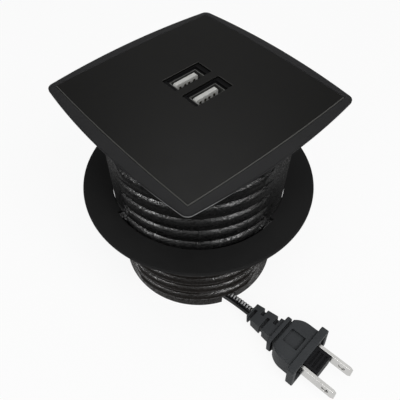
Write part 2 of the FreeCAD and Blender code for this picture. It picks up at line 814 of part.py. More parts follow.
# Ports: the carrier under the panel, the two metal shells, their insulators and contacts.
def make_carrier():
    """Returns the moulding that holds both ports under the bezel."""
    middle = ("port_x", CARRIER_Y)
    head_size = ("carrier_width", "carrier_depth", f"{RECESS} - {UNDER}")
    head = centred("carrier_head", middle, UNDER, head_size)
    flange_size = ("flange_width", "flange_depth", "flange_thick")
    flange = centred("carrier_flange", middle, FLANGE_LOW, flange_size)
    solids = [head, flange]
    holes = []
    post_height = f"({FLANGE_LOW} - {BOARD_TOP})"
    for sx in (-1, 1):
        for sy in (-1, 1):
            spot = (f"port_x + {sx} * post_x", f"{CARRIER_Y} + {sy} * post_y")
            tag = f"{sx + 1}{sy + 1}"
            solids.append(rod(f"carrier_post_{tag}", (*spot, BOARD_TOP), "post_radius", post_height))
            deep = "board_screw_length - board_thick + 0.5"
            holes.append(
                rod(f"post_pilot_{tag}", (*spot, BOARD_TOP), "board_screw_radius + screw_gap", deep)
            )
        spot = (f"port_x + {sx} * carrier_boss_x", CARRIER_Y)
        low = f"({FLANGE_LOW} - carrier_boss_length)"
        radius = "carrier_boss_radius"
        solids.append(rod(f"carrier_boss_{sx + 1}", (*spot, low), radius, "carrier_boss_length"))
        pilot_low = f"({RECESS} - carrier_screw_length - 0.4)"
        deep = f"{UNDER} - {pilot_low}"
        pilot = "carrier_screw_radius + screw_gap"
        holes.append(rod(f"carrier_pilot_{sx + 1}", (*spot, pilot_low), pilot, deep))
    for tag, middle_y in PORTS.items():
        spot = ("port_x", middle_y)
        mouth = ("mouth_width", "mouth_depth", "mouth_step + 1")
        holes.append(centred(f"port_mouth_{tag}", spot, SHELL_TOP, mouth))
        clear = ("shell_width + 2 * fit_gap", "shell_depth + 2 * fit_gap", "flange_thick + 4")
        holes.append(centred(f"port_well_{tag}", spot, f"{FLANGE_LOW} - 1", clear))
    return cut("port_carrier", fuse("carrier_blank", *solids), *holes)


def make_port(tag, middle_y):
    """Makes one socket: its steel shell, its insulator and its four contacts."""
    spot = ("port_x", middle_y)
    outer = centred(f"shell_outer_{tag}", spot, BOARD_TOP, ("shell_width", "shell_depth", "shell_height"))
    inner_size = ("shell_width - 2 * shell_wall", "shell_depth - 2 * shell_wall", "shell_height + 2")
    inner = centred(f"shell_inner_{tag}", spot, f"{BOARD_TOP} - 1", inner_size)
    keep(cut(f"usb_shell_{tag}_cut", outer, inner), f"usb_shell_{tag}")
    base_size = (
        "shell_width - 2 * shell_wall - 2 * fit_gap",
        "shell_depth - 2 * shell_wall - 2 * fit_gap",
        "insulator_base",
    )
    base = centred(f"insulator_base_{tag}", spot, BOARD_TOP, base_size)
    back = f"({middle_y} + shell_depth/2 - shell_wall - tongue_back_gap)"
    face = f"({back} - tongue_thick)"
    tongue_low = f"({BOARD_TOP} + insulator_base)"
    tongue_tall = "(shell_height - tongue_recess - insulator_base)"
    tongue = block(
        f"tongue_{tag}",
        ("port_x - tongue_width/2", face, tongue_low),
        ("tongue_width", "tongue_thick", tongue_tall),
    )
    tip = val(f"{tongue_low} + {tongue_tall}")
    ends = ease(
        f"tongue_{tag}_eased",
        tongue,
        "tongue_corner",
        lambda b: b.ZMin > tip - SMALL and b.XLength < SMALL,
        rounded=False,
    )
    keep(fuse(f"usb_insulator_{tag}_solid", base, ends), f"usb_insulator_{tag}")
    strips = []
    for i, offset in enumerate(("-contact_outer", "-contact_inner", "contact_inner", "contact_outer")):
        low = (f"port_x + {offset} - contact_width/2", f"{face} - contact_thick", tongue_low)
        size = ("contact_width", "contact_thick", f"{tongue_tall} - contact_set")
        strips.append(block(f"contact_{tag}_{i}", low, size))
    keep(group(f"usb_contacts_{tag}_set", *strips), f"usb_contacts_{tag}")


keep(make_carrier(), "port_carrier")
for port_tag, port_middle in PORTS.items():
    make_port(port_tag, port_middle)
carrier_screws = []
for side in (-1, 1):
    middle = (f"port_x + {side} * carrier_boss_x", CARRIER_Y)
    carrier_screws.append(flat_screw(f"carrier_screw_{side + 1}", middle, RECESS, "carrier_screw"))
keep(group("carrier_screw_set", *carrier_screws), "carrier_screws")


# Port board, with the screws that hold it to the carrier's posts.
def make_port_board():
    """Returns the board that both sockets stand on, and its screws."""
    size = ("port_board_width", "port_board_depth", "board_thick")
    board = centred("port_board_blank", ("port_x", CARRIER_Y), BOARD_LOW, size)
    holes = []
    screws = []
    for sx in (-1, 1):
        for sy in (-1, 1):
            spot = (f"port_x + {sx} * post_x", f"{CARRIER_Y} + {sy} * post_y")
            tag = f"{sx + 1}{sy + 1}"
            clear = "board_screw_radius + fit_gap"
            holes.append(rod(f"board_hole_{tag}", (*spot, f"{BOARD_LOW} - 1"), clear, "board_thick + 2"))
            screws.append(pan_screw(f"board_screw_{tag}", spot, BOARD_LOW, "board_screw"))
    return cut("port_board_cut", board, *holes), group("board_screw_set", *screws)


port_board, board_screws = make_port_board()
keep(port_board, "port_board")
keep(board_screws, "board_screws")


# Power board: it slides down the barrel's rails and feeds the port board through a header.
keep(
    block(
        "power_board_sheet",
        ("-power_board_half", "board_face", "power_board_foot"),
        ("2 * power_board_half", "board_thick", "power_board_top - power_board_foot"),
    ),
    "power_board",
)
HEADER = {"width": 12.0, "depth": 2.5}
header_middle = ("port_x", "board_face + board_thick/2")
header_size = (HEADER["width"], HEADER["depth"], f"{BOARD_LOW} - power_board_top")
keep(centred("board_link_block", header_middle, "power_board_top", header_size), "board_header")


def make_can(name, across, height, radius, length):
    """An electrolytic capacitor that lies out from the board, with its crimp groove."""
    body = new_body(name + "_body")
    groove = 0.35
    edge = 0.6
    points = [
        ("0", "0"),
        (radius, "0"),
        (radius, "1.4"),
        (radius - groove, "1.9"),
        (radius, "2.4"),
        (radius, length - edge),
        (radius - edge, length),
        ("0", length),
    ]
    spin(body, outline(body, name + "_profile", points, "XZ_Plane"))
    body.Placement = FreeCAD.Placement(V(0, 0, 0), FreeCAD.Rotation(V(1, 0, 0), 90))
    place(body, (across, "board_face", height))
    return body


def make_transformer():
    """Makes the transformer: a ferrite core with two windows, and the coil on its middle leg."""
    t = TRANSFORMER
    middle_y = f"(board_face - {t['coil_deep'] / 2})"
    low_z = t["height"] - t["core_tall"] / 2
    size = (t["core_width"], t["core_deep"], t["core_tall"])
    core = centred("core_blank", ("0", middle_y), low_z, size)
    windows = []
    tall = t["core_tall"] - 2 * t["yoke"]
    for side in (-1, 1):
        middle_x = side * (t["leg"] + t["window"]) / 2
        cut_size = (t["window"], t["core_deep"] + 2, tall)
        spot = (middle_x, middle_y)
        windows.append(centred(f"core_window_{side + 1}", spot, low_z + t["yoke"], cut_size))
    keep(cut("core_cut", core, *windows), "transformer_core")
    coil_width = t["leg"] + 2 * t["window"] - 2 * t["slack"]
    coil_low = low_z + t["yoke"] + t["slack"]
    coil_tall = tall - 2 * t["slack"]
    coil = centred("coil_blank", ("0", middle_y), coil_low, (coil_width, t["coil_deep"], coil_tall))
    bore_size = (t["leg"] + 2 * t["slack"], t["core_deep"] + 2 * t["slack"], t["core_tall"])
    bore = centred("coil_bore", ("0", middle_y), low_z, bore_size)
    keep(cut("coil_cut", coil, bore), "transformer_coil")


make_transformer()
for name, (across, height, radius, length) in CANS.items():
    keep(make_can(name, across, height, radius, length), name)
for name, (across, height, width, deep, tall) in CHIPS.items():
    low = (across - width / 2, f"board_face - {deep}", height - tall / 2)
    keep(block(name + "_block", low, (width, deep, tall)), name)


# Bottom cover with the box that holds the cord's gland.
BOX_X = CORD_ROUTE[0].x
GLAND_Z = CORD_ROUTE[0].z
GLAND_Y = f"({CORD_ROUTE[0].y} + gland_length)"


def make_cover():
    """Returns the cover that closes the barrel's lower end."""
    disc = rod("cover_disc", ("0", "0", "cover_floor"), f"{BORE} - fit_gap * 2", "cover_thick")
    low = (f"{BOX_X} - box_width/2", GLAND_Y, "box_foot")
    box = block("cover_box", low, ("box_width", "box_depth", "cover_floor - box_foot + 0.5"))
    inside_low = (f"{BOX_X} - box_width/2 + box_wall", f"{GLAND_Y} + box_wall", "box_foot - 1")
    inside_size = ("box_width - 2 * box_wall", "box_depth - 2 * box_wall", "cover_floor - box_foot + 1")
    inside = block("cover_box_inside", inside_low, inside_size)
    shell = cut("cover_box_shell", box, inside)
    posts = []
    pilots = []
    for side, spot in cap_spots():
        size = ("2 * cap_post", "2 * cap_post", "cover_floor - box_foot + 0.5")
        posts.append(centred(f"cap_post_{side + 1}", spot, "box_foot", size))
        deep = "cap_screw_length - cap_thick + 0.5"
        pilot = "cap_screw_radius + screw_gap"
        pilots.append(rod(f"cap_pilot_{side + 1}", (*spot, "box_foot"), pilot, deep))
    slot_radius = "gland_neck + fit_gap"
    slot_low = (f"{BOX_X} - ({slot_radius})", f"{GLAND_Y} - 1", "box_foot - 1")
    slot_size = (f"2 * ({slot_radius})", "box_wall + 1.5", f"{GLAND_Z} - box_foot + 1")
    slot = block("gland_slot", slot_low, slot_size)
    arch_spot = (BOX_X, f"{GLAND_Y} + box_wall + 0.5", GLAND_Z)
    arch = rod("gland_arch", arch_spot, slot_radius, "box_wall + 1.5", "-y")
    lead_hole_size = ("4 * lead_spread + 1", "3 * lead_radius + 1", "cover_thick + 2")
    lead_hole = centred("lead_hole", (BOX_X, "lead_rise_y"), "cover_floor - 0.5", lead_hole_size)
    holes = [slot, arch, lead_hole, *pilots]
    screws = []
    for i in range(int(val("cover_screws"))):
        spot = at_angle(COVER_CIRCLE, f"(cover_turn + {i} * 360 / cover_screws)")
        clear = "cover_screw_radius + fit_gap"
        holes.append(rod(f"cover_hole_{i}", (*spot, "cover_floor - 1"), clear, "cover_thick + 2"))
        screws.append(pan_screw(f"cover_screw_{i}", spot, "cover_floor", "cover_screw"))
    blank = fuse("cover_blank", disc, shell, *posts)
    return cut("cover_cut", blank, *holes), group("cover_screw_set", *screws)


def cap_spots():
    """Returns the side and the middle of each of the cap's two screws."""
    y = f"{GLAND_Y} + box_depth - box_wall - cap_post + 0.3"
    reach = "(box_width/2 - box_wall - cap_post + 0.3)"
    return [(side, (f"{BOX_X} + {side} * {reach}", y)) for side in (-1, 1)]


def make_cap():
    """Returns the cap that closes the gland's box from below, and its two screws."""
    low = (f"{BOX_X} - box_width/2", GLAND_Y, "box_foot - cap_thick")
    plate = block("cap_plate", low, ("box_width", "box_depth", "cap_thick"))
    width = "2 * gland_neck"
    tall = f"{GLAND_Z} - box_foot"
    tongue = block("cap_tongue", (f"{BOX_X} - gland_neck", GLAND_Y, "box_foot"), (width, "box_wall", tall))
    saddle_foot = (BOX_X, f"{GLAND_Y} + box_wall + 1", GLAND_Z)
    saddle = rod("cap_saddle", saddle_foot, "gland_neck + screw_gap", "box_wall + 2", "-y")
    holes = [saddle]
    screws = []
    for side, spot in cap_spots():
        face = "box_foot - cap_thick"
        clear = "cap_screw_radius + fit_gap"
        wide = "cap_head_radius + fit_gap"
        holes.append(rod(f"cap_hole_{side + 1}", (*spot, f"{face} - 1"), clear, "cap_thick + 2"))
        holes.append(cone(f"cap_sink_{side + 1}", spot, face, wide, clear, "cap_head_height"))
        screws.append(flat_screw(f"cap_screw_{side + 1}", spot, face, "cap_screw", head_up=False))
    return cut("gland_cap_cut", fuse("cap_blank", plate, tongue), *holes), group("cap_screw_set", *screws)


def make_gland():
    """Returns the ribbed strain relief moulded on the cord, held by its neck in the box's wall."""
    body = new_body("gland_body")
    points = [("0", "0"), ("gland_tip", "0")]
    rings = int(val("gland_rings"))
    for i in range(rings):
        share = (i + 0.5) / (rings + 0.5)
        along = f"gland_length * {share} * 0.86"
        radius = f"(gland_tip + (gland_root - gland_tip) * {share})"
        points.append((radius, f"{along} - 0.9"))
        points.append((f"{radius} - gland_ring_depth", f"{along} - 0.5"))
        points.append((f"{radius} - gland_ring_depth", f"{along} + 0.5"))
        points.append((radius, f"{along} + 0.9"))
    neck_end = "(gland_length + box_wall)"
    points += [
        ("gland_root", "gland_length * 0.93"),
        ("gland_root", "gland_length"),
        ("gland_neck", "gland_length"),
        ("gland_neck", neck_end),
        ("gland_head", neck_end),
        ("gland_head", f"{neck_end} + gland_head_length"),
        ("0", f"{neck_end} + gland_head_length"),
    ]
    spin(body, outline(body, "gland_profile", points, "XZ_Plane"))
    body.Placement = FreeCAD.Placement(CORD_ROUTE[0], FreeCAD.Rotation(V(1, 0, 0), -90))
    return body


cover, cover_screws = make_cover()
keep(cover, "bottom_cover")
keep(cover_screws, "cover_screws")
cap, cap_screws = make_cap()
keep(cap, "gland_cap")
keep(cap_screws, "cap_screws")
keep(make_gland(), "cord_gland")


def smooth_path(points, radii=None):
    """Returns the wire of straight runs joined by tangent arcs, and the arcs' radii."""
    edges = []
    used = []
    start = points[0]
    for i in range(1, len(points) - 1):
        back = points[i - 1] - points[i]
        ahead = points[i + 1] - points[i]
        turn = math.pi - back.getAngle(ahead)
        shorter = min(back.Length, ahead.Length)
        radius = radii if radii else 0.45 * shorter / math.tan(turn / 2)
        trim = radius * math.tan(turn / 2)
        first = points[i] + back.normalize() * trim
        last = points[i] + ahead.normalize() * trim
        bisector = (back + ahead).normalize()
        middle = points[i] + bisector * (radius / math.cos(turn / 2) - radius)
        edges.append(Part.LineSegment(start, first).toShape())
        edges.append(Part.Arc(first, middle, last).toShape())
        used.append(radius)
        start = last
    edges.append(Part.LineSegment(start, points[-1]).toShape())
    return Part.Wire(edges), used


def flat_cord(points, width, thick):
    """Returns the flat cord's solid along its route, kept level on its broad side."""
    path, radii = smooth_path(points)
    half = thick / 2
    straight = width / 2 - half
    corners = [V(-straight, 0, -half), V(straight, 0, -half), V(straight, 0, half), V(-straight, 0, half)]
    section = Part.Wire(
        [
            Part.LineSegment(corners[0], corners[1]).toShape(),
            Part.Arc(corners[1], V(straight + half, 0, 0), corners[2]).toShape(),
            Part.LineSegment(corners[2], corners[3]).toShape(),
            Part.Arc(corners[3], V(-straight - half, 0, 0), corners[0]).toShape(),
        ]
    )
    section.translate(points[0])
    solid = path.makePipeShell([section], True, False)
    area = Part.Face(section).Area
    print("cord radii", [round(r, 1) for r in radii])
    share = solid.Volume / (area * path.Length)
    print("cord length", round(path.Length, 2), "volume share", round(share, 4))
    return solid


keep(feature("power_cord_run", flat_cord(CORD_ROUTE, val("cord_width"), val("cord_thick"))), "power_cord")


def make_leads():
    """Returns the two inner leads from the gland's back up to the power board."""
    start_y = CORD_ROUTE[0].y + val("gland_length + box_wall + gland_head_length")
    end_y = val("board_face + board_thick")
    leads = []
    for side in (-1, 1):
        x = BOX_X + side * val("lead_spread")
        points = [
            V(x, start_y, GLAND_Z),
            V(x, val("lead_rise_y"), GLAND_Z),
            V(x, val("lead_rise_y"), val("lead_top")),
            V(x, end_y, val("lead_top")),
        ]
        path = smooth_path(points, val("lead_bend"))[0]
        circle = Part.Circle(points[0], V(0, 1, 0), val("lead_radius")).toShape()
        leads.append(path.makePipeShell([Part.Wire(circle)], True, False))
    return Part.makeCompound(leads)


keep(feature("inner_leads_run", make_leads()), "inner_leads")


# Clamp washer: it rides up and down the barrel, keyed to the plain bands, and never turns.
def sector(radius_in, radius_out, low_z, height, middle, half_angle):
    """A piece of ring between two radii, about one direction."""
    inner = val(radius_in)
    outer = val(radius_out)
    lo = math.radians(middle - val(half_angle))
    hi = math.radians(middle + val(half_angle))
    base = Part.makeCylinder(outer, val(height), V(0, 0, val(low_z)))
    base = base.cut(Part.makeCylinder(inner, val(height), V(0, 0, val(low_z))))
    far = outer * 2
    wedge = Part.makePolygon(
        [
            V(0, 0, val(low_z)),
            V(far * math.cos(lo), far * math.sin(lo), val(low_z)),
            V(far * math.cos(hi), far * math.sin(hi), val(low_z)),
            V(0, 0, val(low_z)),
        ]
    )
    prism = Part.Face(wedge).extrude(V(0, 0, val(height)))
    return base.common(prism)


def make_washer():
    """Returns the clamp washer."""
    body = new_body("washer_ring_body")
    points = [
        (RUN_RADIUS, WASHER_LOW),
        (f"{WASHER_RADIUS} - washer_chamfer", WASHER_LOW),
        (WASHER_RADIUS, f"{WASHER_LOW} + washer_chamfer"),
        (WASHER_RADIUS, "washer_top - washer_chamfer"),
        (f"{WASHER_RADIUS} - washer_chamfer", "washer_top"),
        (RUN_RADIUS, "washer_top"),
    ]
    spin(body, outline(body, "washer_profile", points, "XZ_Plane"))
    keys = []
    for middle in (135, 315):
        shape = sector(
            "barrel_radius + key_gap",
            f"{RUN_RADIUS} + 1",
            WASHER_LOW,
            "washer_thick",
            middle,
            "key_half_angle",
        )
        keys.append(feature(f"washer_key_{middle}", shape))
    return fuse("clamp_washer_solid", body, *keys)


def thread_lug(direction, height):
    """Returns one lug of the nut, lying in the groove between two ridges."""
    pitch = val("thread_pitch")
    span = math.radians(val("lug_half_angle"))
    inner = val("barrel_radius + run_gap")
    outer = val(f"{RUN_RADIUS} + lug_root")
    tip = val("lug_tip") / 2
    root = tip + val("lug_flare")
    helix = Part.makeHelix(pitch, pitch * span / math.pi, inner)
    profile = Part.makePolygon(
        [V(inner, 0, -tip), V(outer, 0, -root), V(outer, 0, root), V(inner, 0, tip), V(inner, 0, -tip)]
    )
    lug = Part.Wire(helix).makePipeShell([profile], True, True)
    lug.translate(V(0, 0, height - pitch * span / (2 * math.pi)))
    lug.rotate(V(0, 0, 0), V(0, 0, 1), direction - math.degrees(span))
    return lug


def make_nut():
    """Returns the lock nut: ring, grip ribs and two thread lugs."""
    body = new_body("nut_ring_body")
    outer = f"({RUN_RADIUS} + nut_wall)"
    points = [(RUN_RADIUS, NUT_LOW), (outer, NUT_LOW), (outer, WASHER_LOW), (RUN_RADIUS, WASHER_LOW)]
    spin(body, outline(body, "nut_profile", points, "XZ_Plane"))
    doc.recompute()
    rib = new_sketch(body, "nut_rib", "XY_Plane", NUT_LOW)
    rib.addGeometry(Part.Circle(V(val(outer), 0, 0), V(0, 0, 1), val("nut_rib")), False)
    rib.addConstraint(Constraint("PointOnObject", 0, 3, -1))
    held = rib.addConstraint(Constraint("DistanceX", -1, 1, 0, 3, val(outer)))
    rib.setExpression(f"Constraints[{held}]", text(outer))
    held = rib.addConstraint(Constraint("Radius", 0, val("nut_rib")))
    rib.setExpression(f"Constraints[{held}]", text("nut_rib"))
    grown = pad(body, rib, "nut_height")
    polar(body, grown, "nut_ribs")
    pitch = val("thread_pitch")
    turn = val("lug_turn")
    middle = val(f"({NUT_LOW} + {WASHER_LOW}) / 2")
    lugs = []
    for half_turns in (0, 1):
        side = val("thread_side") + 180 * half_turns
        first = val("thread_start") + pitch * (0.5 + half_turns / 2 + turn / 360)
        grooves = [first + pitch * i for i in range(int(val("thread_rows")))]
        height = min(grooves, key=lambda level: abs(level - middle))
        lugs.append(feature(f"nut_lug_{half_turns}", thread_lug(side + turn, height)))
    return fuse("lock_nut_solid", body, *lugs)


keep(make_washer(), "clamp_washer")
keep(make_nut(), "lock_nut")


# Two-blade plug, built along its own X axis and then laid at the cord's end.
LAST_RUN = CORD_ROUTE[-1] - CORD_ROUTE[-2]
PLUG_YAW = math.degrees(math.atan2(LAST_RUN.y, LAST_RUN.x))
PLUG_TILT = math.degrees(math.asin(LAST_RUN.z / LAST_RUN.Length))
PLUG_PLACE = FreeCAD.Placement(CORD_ROUTE[-1], FreeCAD.Rotation(PLUG_YAW, -PLUG_TILT, 0))
COLLAR_X = "boot_length"
NECK_X = f"({COLLAR_X} + plug_collar_length)"
BODY_X = f"({NECK_X} + plug_neck_length)"
FLANGE_X = f"({BODY_X} + plug_body_length)"
FACE_X = f"({FLANGE_X} + plug_flange_length)"
FLOOR_X = f"({FACE_X} - face_depth)"
HOLDER_X = f"({FLOOR_X} - holder_length)"


def across(body, name, along, width, thick):
    """A rectangle square to the plug's axis; the sketch's X is the plug's Y."""
    return rectangle(body, name, ("0", "0"), (width, thick), "YZ_Plane", along)


def make_plug():
    """Returns the moulded plug with its slotted boot and its hollow front."""
    body = new_body("plug_mould_body")
    tail = across(body, "boot_tail", "0", "boot_tail_width", "boot_tail_thick")
    front = across(body, "boot_front", COLLAR_X, "boot_front_width", "boot_front_thick")
    loft(body, tail, front)
    doc.recompute()
    collar = across(body, "plug_collar", COLLAR_X, "plug_collar_width", "plug_collar_thick")
    pad(body, collar, "plug_collar_length")
    doc.recompute()
    neck = across(body, "plug_neck", NECK_X, "plug_neck_width", "plug_neck_thick")
    pad(body, neck, "plug_neck_length")
    doc.recompute()
    half = "plug_body_width/2"
    shoulder = "plug_shoulder_width/2"
    shoulder_x = f"{BODY_X} + plug_shoulder_length"
    points = [
        (BODY_X, f"-({shoulder})"),
        (shoulder_x, f"-({half})"),
        (FLANGE_X, f"-({half})"),
        (FLANGE_X, half),
        (shoulder_x, half),
        (BODY_X, shoulder),
    ]
    arcs = {0: "plug_shoulder_radius", 4: "plug_shoulder_radius"}
    plan = outline(body, "plug_plan", points, "XY_Plane", "0", arcs)
    pad(body, plan, "plug_body_thick", both_ways=True)
    doc.recompute()
    flange = across(body, "plug_flange", FLANGE_X, "plug_flange_width", "plug_flange_thick")
    pad(body, flange, "plug_flange_length")
    body_x = val(BODY_X)
    flange_x = val(FLANGE_X)
    body_top = val("plug_body_thick/2")
    flange_side = val("plug_flange_width/2")
    collar_side = val("plug_collar_width/2")
    flange_eased = ease(
        "plug_flange_eased",
        body,
        "plug_corner",
        lambda b: b.YLength < SMALL and b.ZLength < SMALL and abs(abs(b.YMin) - flange_side) < SMALL,
    )
    collar_eased = ease(
        "plug_collar_eased",
        flange_eased,
        "collar_corner",
        lambda b: b.YLength < SMALL and b.ZLength < SMALL and abs(abs(b.YMin) - collar_side) < SMALL,
    )
    shell = ease(
        "plug_shell_eased",
        collar_eased,
        "plug_edge",
        lambda b: (
            b.ZLength < SMALL
            and abs(abs(b.ZMin) - body_top) < SMALL
            and b.XMin > body_x - SMALL
            and b.XMin < flange_x - SMALL
        ),
    )
    cuts = []
    for i in range(4):
        share = f"(boot_first + boot_step * {i})"
        wide = f"(boot_tail_width + (boot_front_width - boot_tail_width) * {share})"
        thick = f"(boot_tail_thick + (boot_front_thick - boot_tail_thick) * {share})"
        start = f"boot_length * {share}"
        reach = f"{wide} * boot_reach_short" if i % 2 else f"{wide} * boot_reach_long"
        low_y = f"{wide}/2 - {reach}" if i % 2 else f"-{wide}/2 - 1"
        groove = ("boot_slot", f"{reach} + 1", "boot_slot_sink + 1")
        cuts.append(block(f"boot_slot_top_{i}", (start, low_y, f"{thick}/2 - boot_slot_sink"), groove))
        cuts.append(block(f"boot_slot_under_{i}", (start, low_y, f"-{thick}/2 - 1"), groove))
        low_y = f"{wide}/2 - boot_notch" if i % 2 else f"-{wide}/2 - 1"
        notch = ("boot_slot", "boot_notch + 1", f"{thick} + 2")
        cuts.append(block(f"boot_notch_{i}", (start, low_y, f"-{thick}/2 - 1"), notch))
    badge_x = f"({BODY_X} + plug_body_length/2)"
    badge_low = "plug_body_thick/2 - plug_badge_depth"
    badge_size = ("plug_badge", "plug_badge", "plug_badge_depth + 1")
    cuts.append(centred("plug_badge_recess", (badge_x, "0"), badge_low, badge_size))
    hollow = ("face_depth + 1", "plug_flange_width - 2 * face_rim", "plug_flange_thick - 2 * face_rim")
    cuts.append(block("plug_face", (FLOOR_X, f"-({hollow[1]})/2", f"-({hollow[2]})/2"), hollow))
    well = ("holder_length + 1", "holder_width + 2 * blade_gap", "holder_thick + 2 * blade_gap")
    cuts.append(block("holder_well", (HOLDER_X, f"-({well[1]})/2", f"-({well[2]})/2"), well))
    mould = cut("plug_mould", shell, *cuts)
    ribs = []
    for side in (-1, 1):
        middle_y = f"{side} * (plug_flange_width/2 - face_rim + holder_width/2)/2"
        low = (FLOOR_X, f"{middle_y} - wing_rib/2", f"-({hollow[2]})/2")
        ribs.append(block(f"wing_rib_{side + 1}", low, ("face_depth * 0.6", "wing_rib", hollow[2])))
    return fuse("plug_body_solid", mould, *ribs)


def make_holder():
    """Returns the inner moulding that holds the blades, with its grooved nose."""
    low = (HOLDER_X, "-holder_width/2", "-holder_thick/2")
    base = block("holder_base", low, ("holder_length", "holder_width", "holder_thick"))
    nose_size = ("face_depth + nose_length", "nose_width", "nose_thick")
    nose = block("holder_nose", (FLOOR_X, "-nose_width/2", "-nose_thick/2"), nose_size)
    cuts = []
    step = "(nose_length / (nose_grooves + 0.5))"
    size = (f"{step}/2", "nose_width - 2 * nose_rim", "nose_groove + 1")
    for i in range(int(val("nose_grooves"))):
        start = f"{FACE_X} + ({i} + 0.5) * {step}"
        low_y = "-nose_width/2 + nose_rim"
        cuts.append(block(f"nose_groove_top_{i}", (start, low_y, "nose_thick/2 - nose_groove"), size))
        cuts.append(block(f"nose_groove_under_{i}", (start, low_y, "-nose_thick/2 - 1"), size))
    for side in (-1, 1):
        size = ("holder_length + 2", "blade_thick + 2 * blade_gap", "blade_width + 2 * blade_gap")
        low = (f"{HOLDER_X} - 1", f"{side} * blade_pitch/2 - ({size[1]})/2", f"-({size[2]})/2")
        cuts.append(block(f"blade_slot_{side + 1}", low, size))
    return cut("blade_holder_cut", fuse("holder_blank", base, nose), *cuts)


def make_blade(side):
    """Returns one brass blade with its hole and bevelled tip."""
    body = new_body(f"blade_body_{side + 1}")
    tip = f"({FACE_X} + blade_length)"
    start = HOLDER_X
    half = "blade_width/2"
    points = [
        (start, f"-{half}"),
        (f"{tip} - blade_tip_chamfer", f"-{half}"),
        (tip, f"-{half} + blade_tip_chamfer"),
        (tip, f"{half} - blade_tip_chamfer"),
        (f"{tip} - blade_tip_chamfer", half),
        (start, half),
    ]
    face = outline(body, f"blade_outline_{side + 1}", points, "XZ_Plane", f"-({side}) * blade_pitch/2")
    pad(body, face, "blade_thick", both_ways=True)
    foot = (f"{FACE_X} + blade_hole_reach", f"{side} * blade_pitch/2 + blade_thick", "0")
    hole = rod(f"blade_hole_{side + 1}", foot, "blade_hole_radius", "2 * blade_thick", "-y")
    return cut(f"blade_{side + 1}", body, hole)


plug = keep(make_plug(), "plug_body")
holder = keep(make_holder(), "blade_holder")
blades = keep(group("plug_blade_pair", make_blade(-1), make_blade(1)), "plug_blades")
for piece in (plug, holder, blades):
    piece.Placement = PLUG_PLACE

doc.recompute()
bad = [o.Name for o in doc.Objects if {"Invalid", "Error"} & set(o.State)]
if bad:
    raise ValueError(f"these objects failed: {bad}")
for node in nodes:
    if node.Shape.isNull() or not node.Shape.isValid() or not node.Shape.Solids:
        raise ValueError(f"{node.Label} is not a valid solid")
os.makedirs("parts", exist_ok=True)
for node in nodes:
    node.Shape.exportStep(f"parts/{node.Label}.step")
    box = node.Shape.BoundBox
    low = [round(v, 2) for v in (box.XMin, box.YMin, box.ZMin)]
    high = [round(v, 2) for v in (box.XMax, box.YMax, box.ZMax)]
    print(f"{node.Label:22s} solids {len(node.Shape.Solids)} volume {node.Shape.Volume:9.1f} {low} {high}")
print(len(nodes), "nodes")
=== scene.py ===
"""Looks of the desk charging box: finishes, pieces, mains cord, camera and studio."""

import logging
import math
from abc import ABC, abstractmethod
from dataclasses import dataclass, field
from enum import Enum
from typing import Dict, List, Optional, Sequence, Tuple, Union

import bpy
from mathutils import Matrix, Vector


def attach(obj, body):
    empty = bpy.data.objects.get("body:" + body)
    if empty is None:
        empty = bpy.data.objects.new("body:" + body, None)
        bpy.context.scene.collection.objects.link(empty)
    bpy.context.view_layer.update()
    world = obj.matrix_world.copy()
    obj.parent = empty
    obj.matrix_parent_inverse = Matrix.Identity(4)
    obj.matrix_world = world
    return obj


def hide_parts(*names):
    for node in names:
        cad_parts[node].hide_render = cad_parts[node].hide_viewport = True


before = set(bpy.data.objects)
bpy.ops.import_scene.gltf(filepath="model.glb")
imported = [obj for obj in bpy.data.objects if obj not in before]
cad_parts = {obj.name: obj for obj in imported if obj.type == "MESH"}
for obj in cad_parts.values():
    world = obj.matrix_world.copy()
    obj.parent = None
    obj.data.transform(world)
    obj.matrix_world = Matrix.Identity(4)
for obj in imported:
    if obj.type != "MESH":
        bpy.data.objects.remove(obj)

LOG = logging.getLogger("charging_box")
Colour = Tuple[float, float, float]
Span = Tuple[float, float]
Socket = bpy.types.NodeSocket
Shade = Union[Socket, Sequence[float]]
Feed = Union[float, Shade]
MM = 0.001
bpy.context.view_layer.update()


def metres(*lengths: float) -> Tuple[float, ...]:
    """Returns the millimetres as metres."""
    return tuple(length * MM for length in lengths)


# ---------------------------------------------------------------- finishes


class Grain(Enum):
    """How a surface is textured."""

    MOULDED = "moulded"
    PEBBLED = "pebbled"
    BRUSHED = "brushed"
    WOUND = "wound"


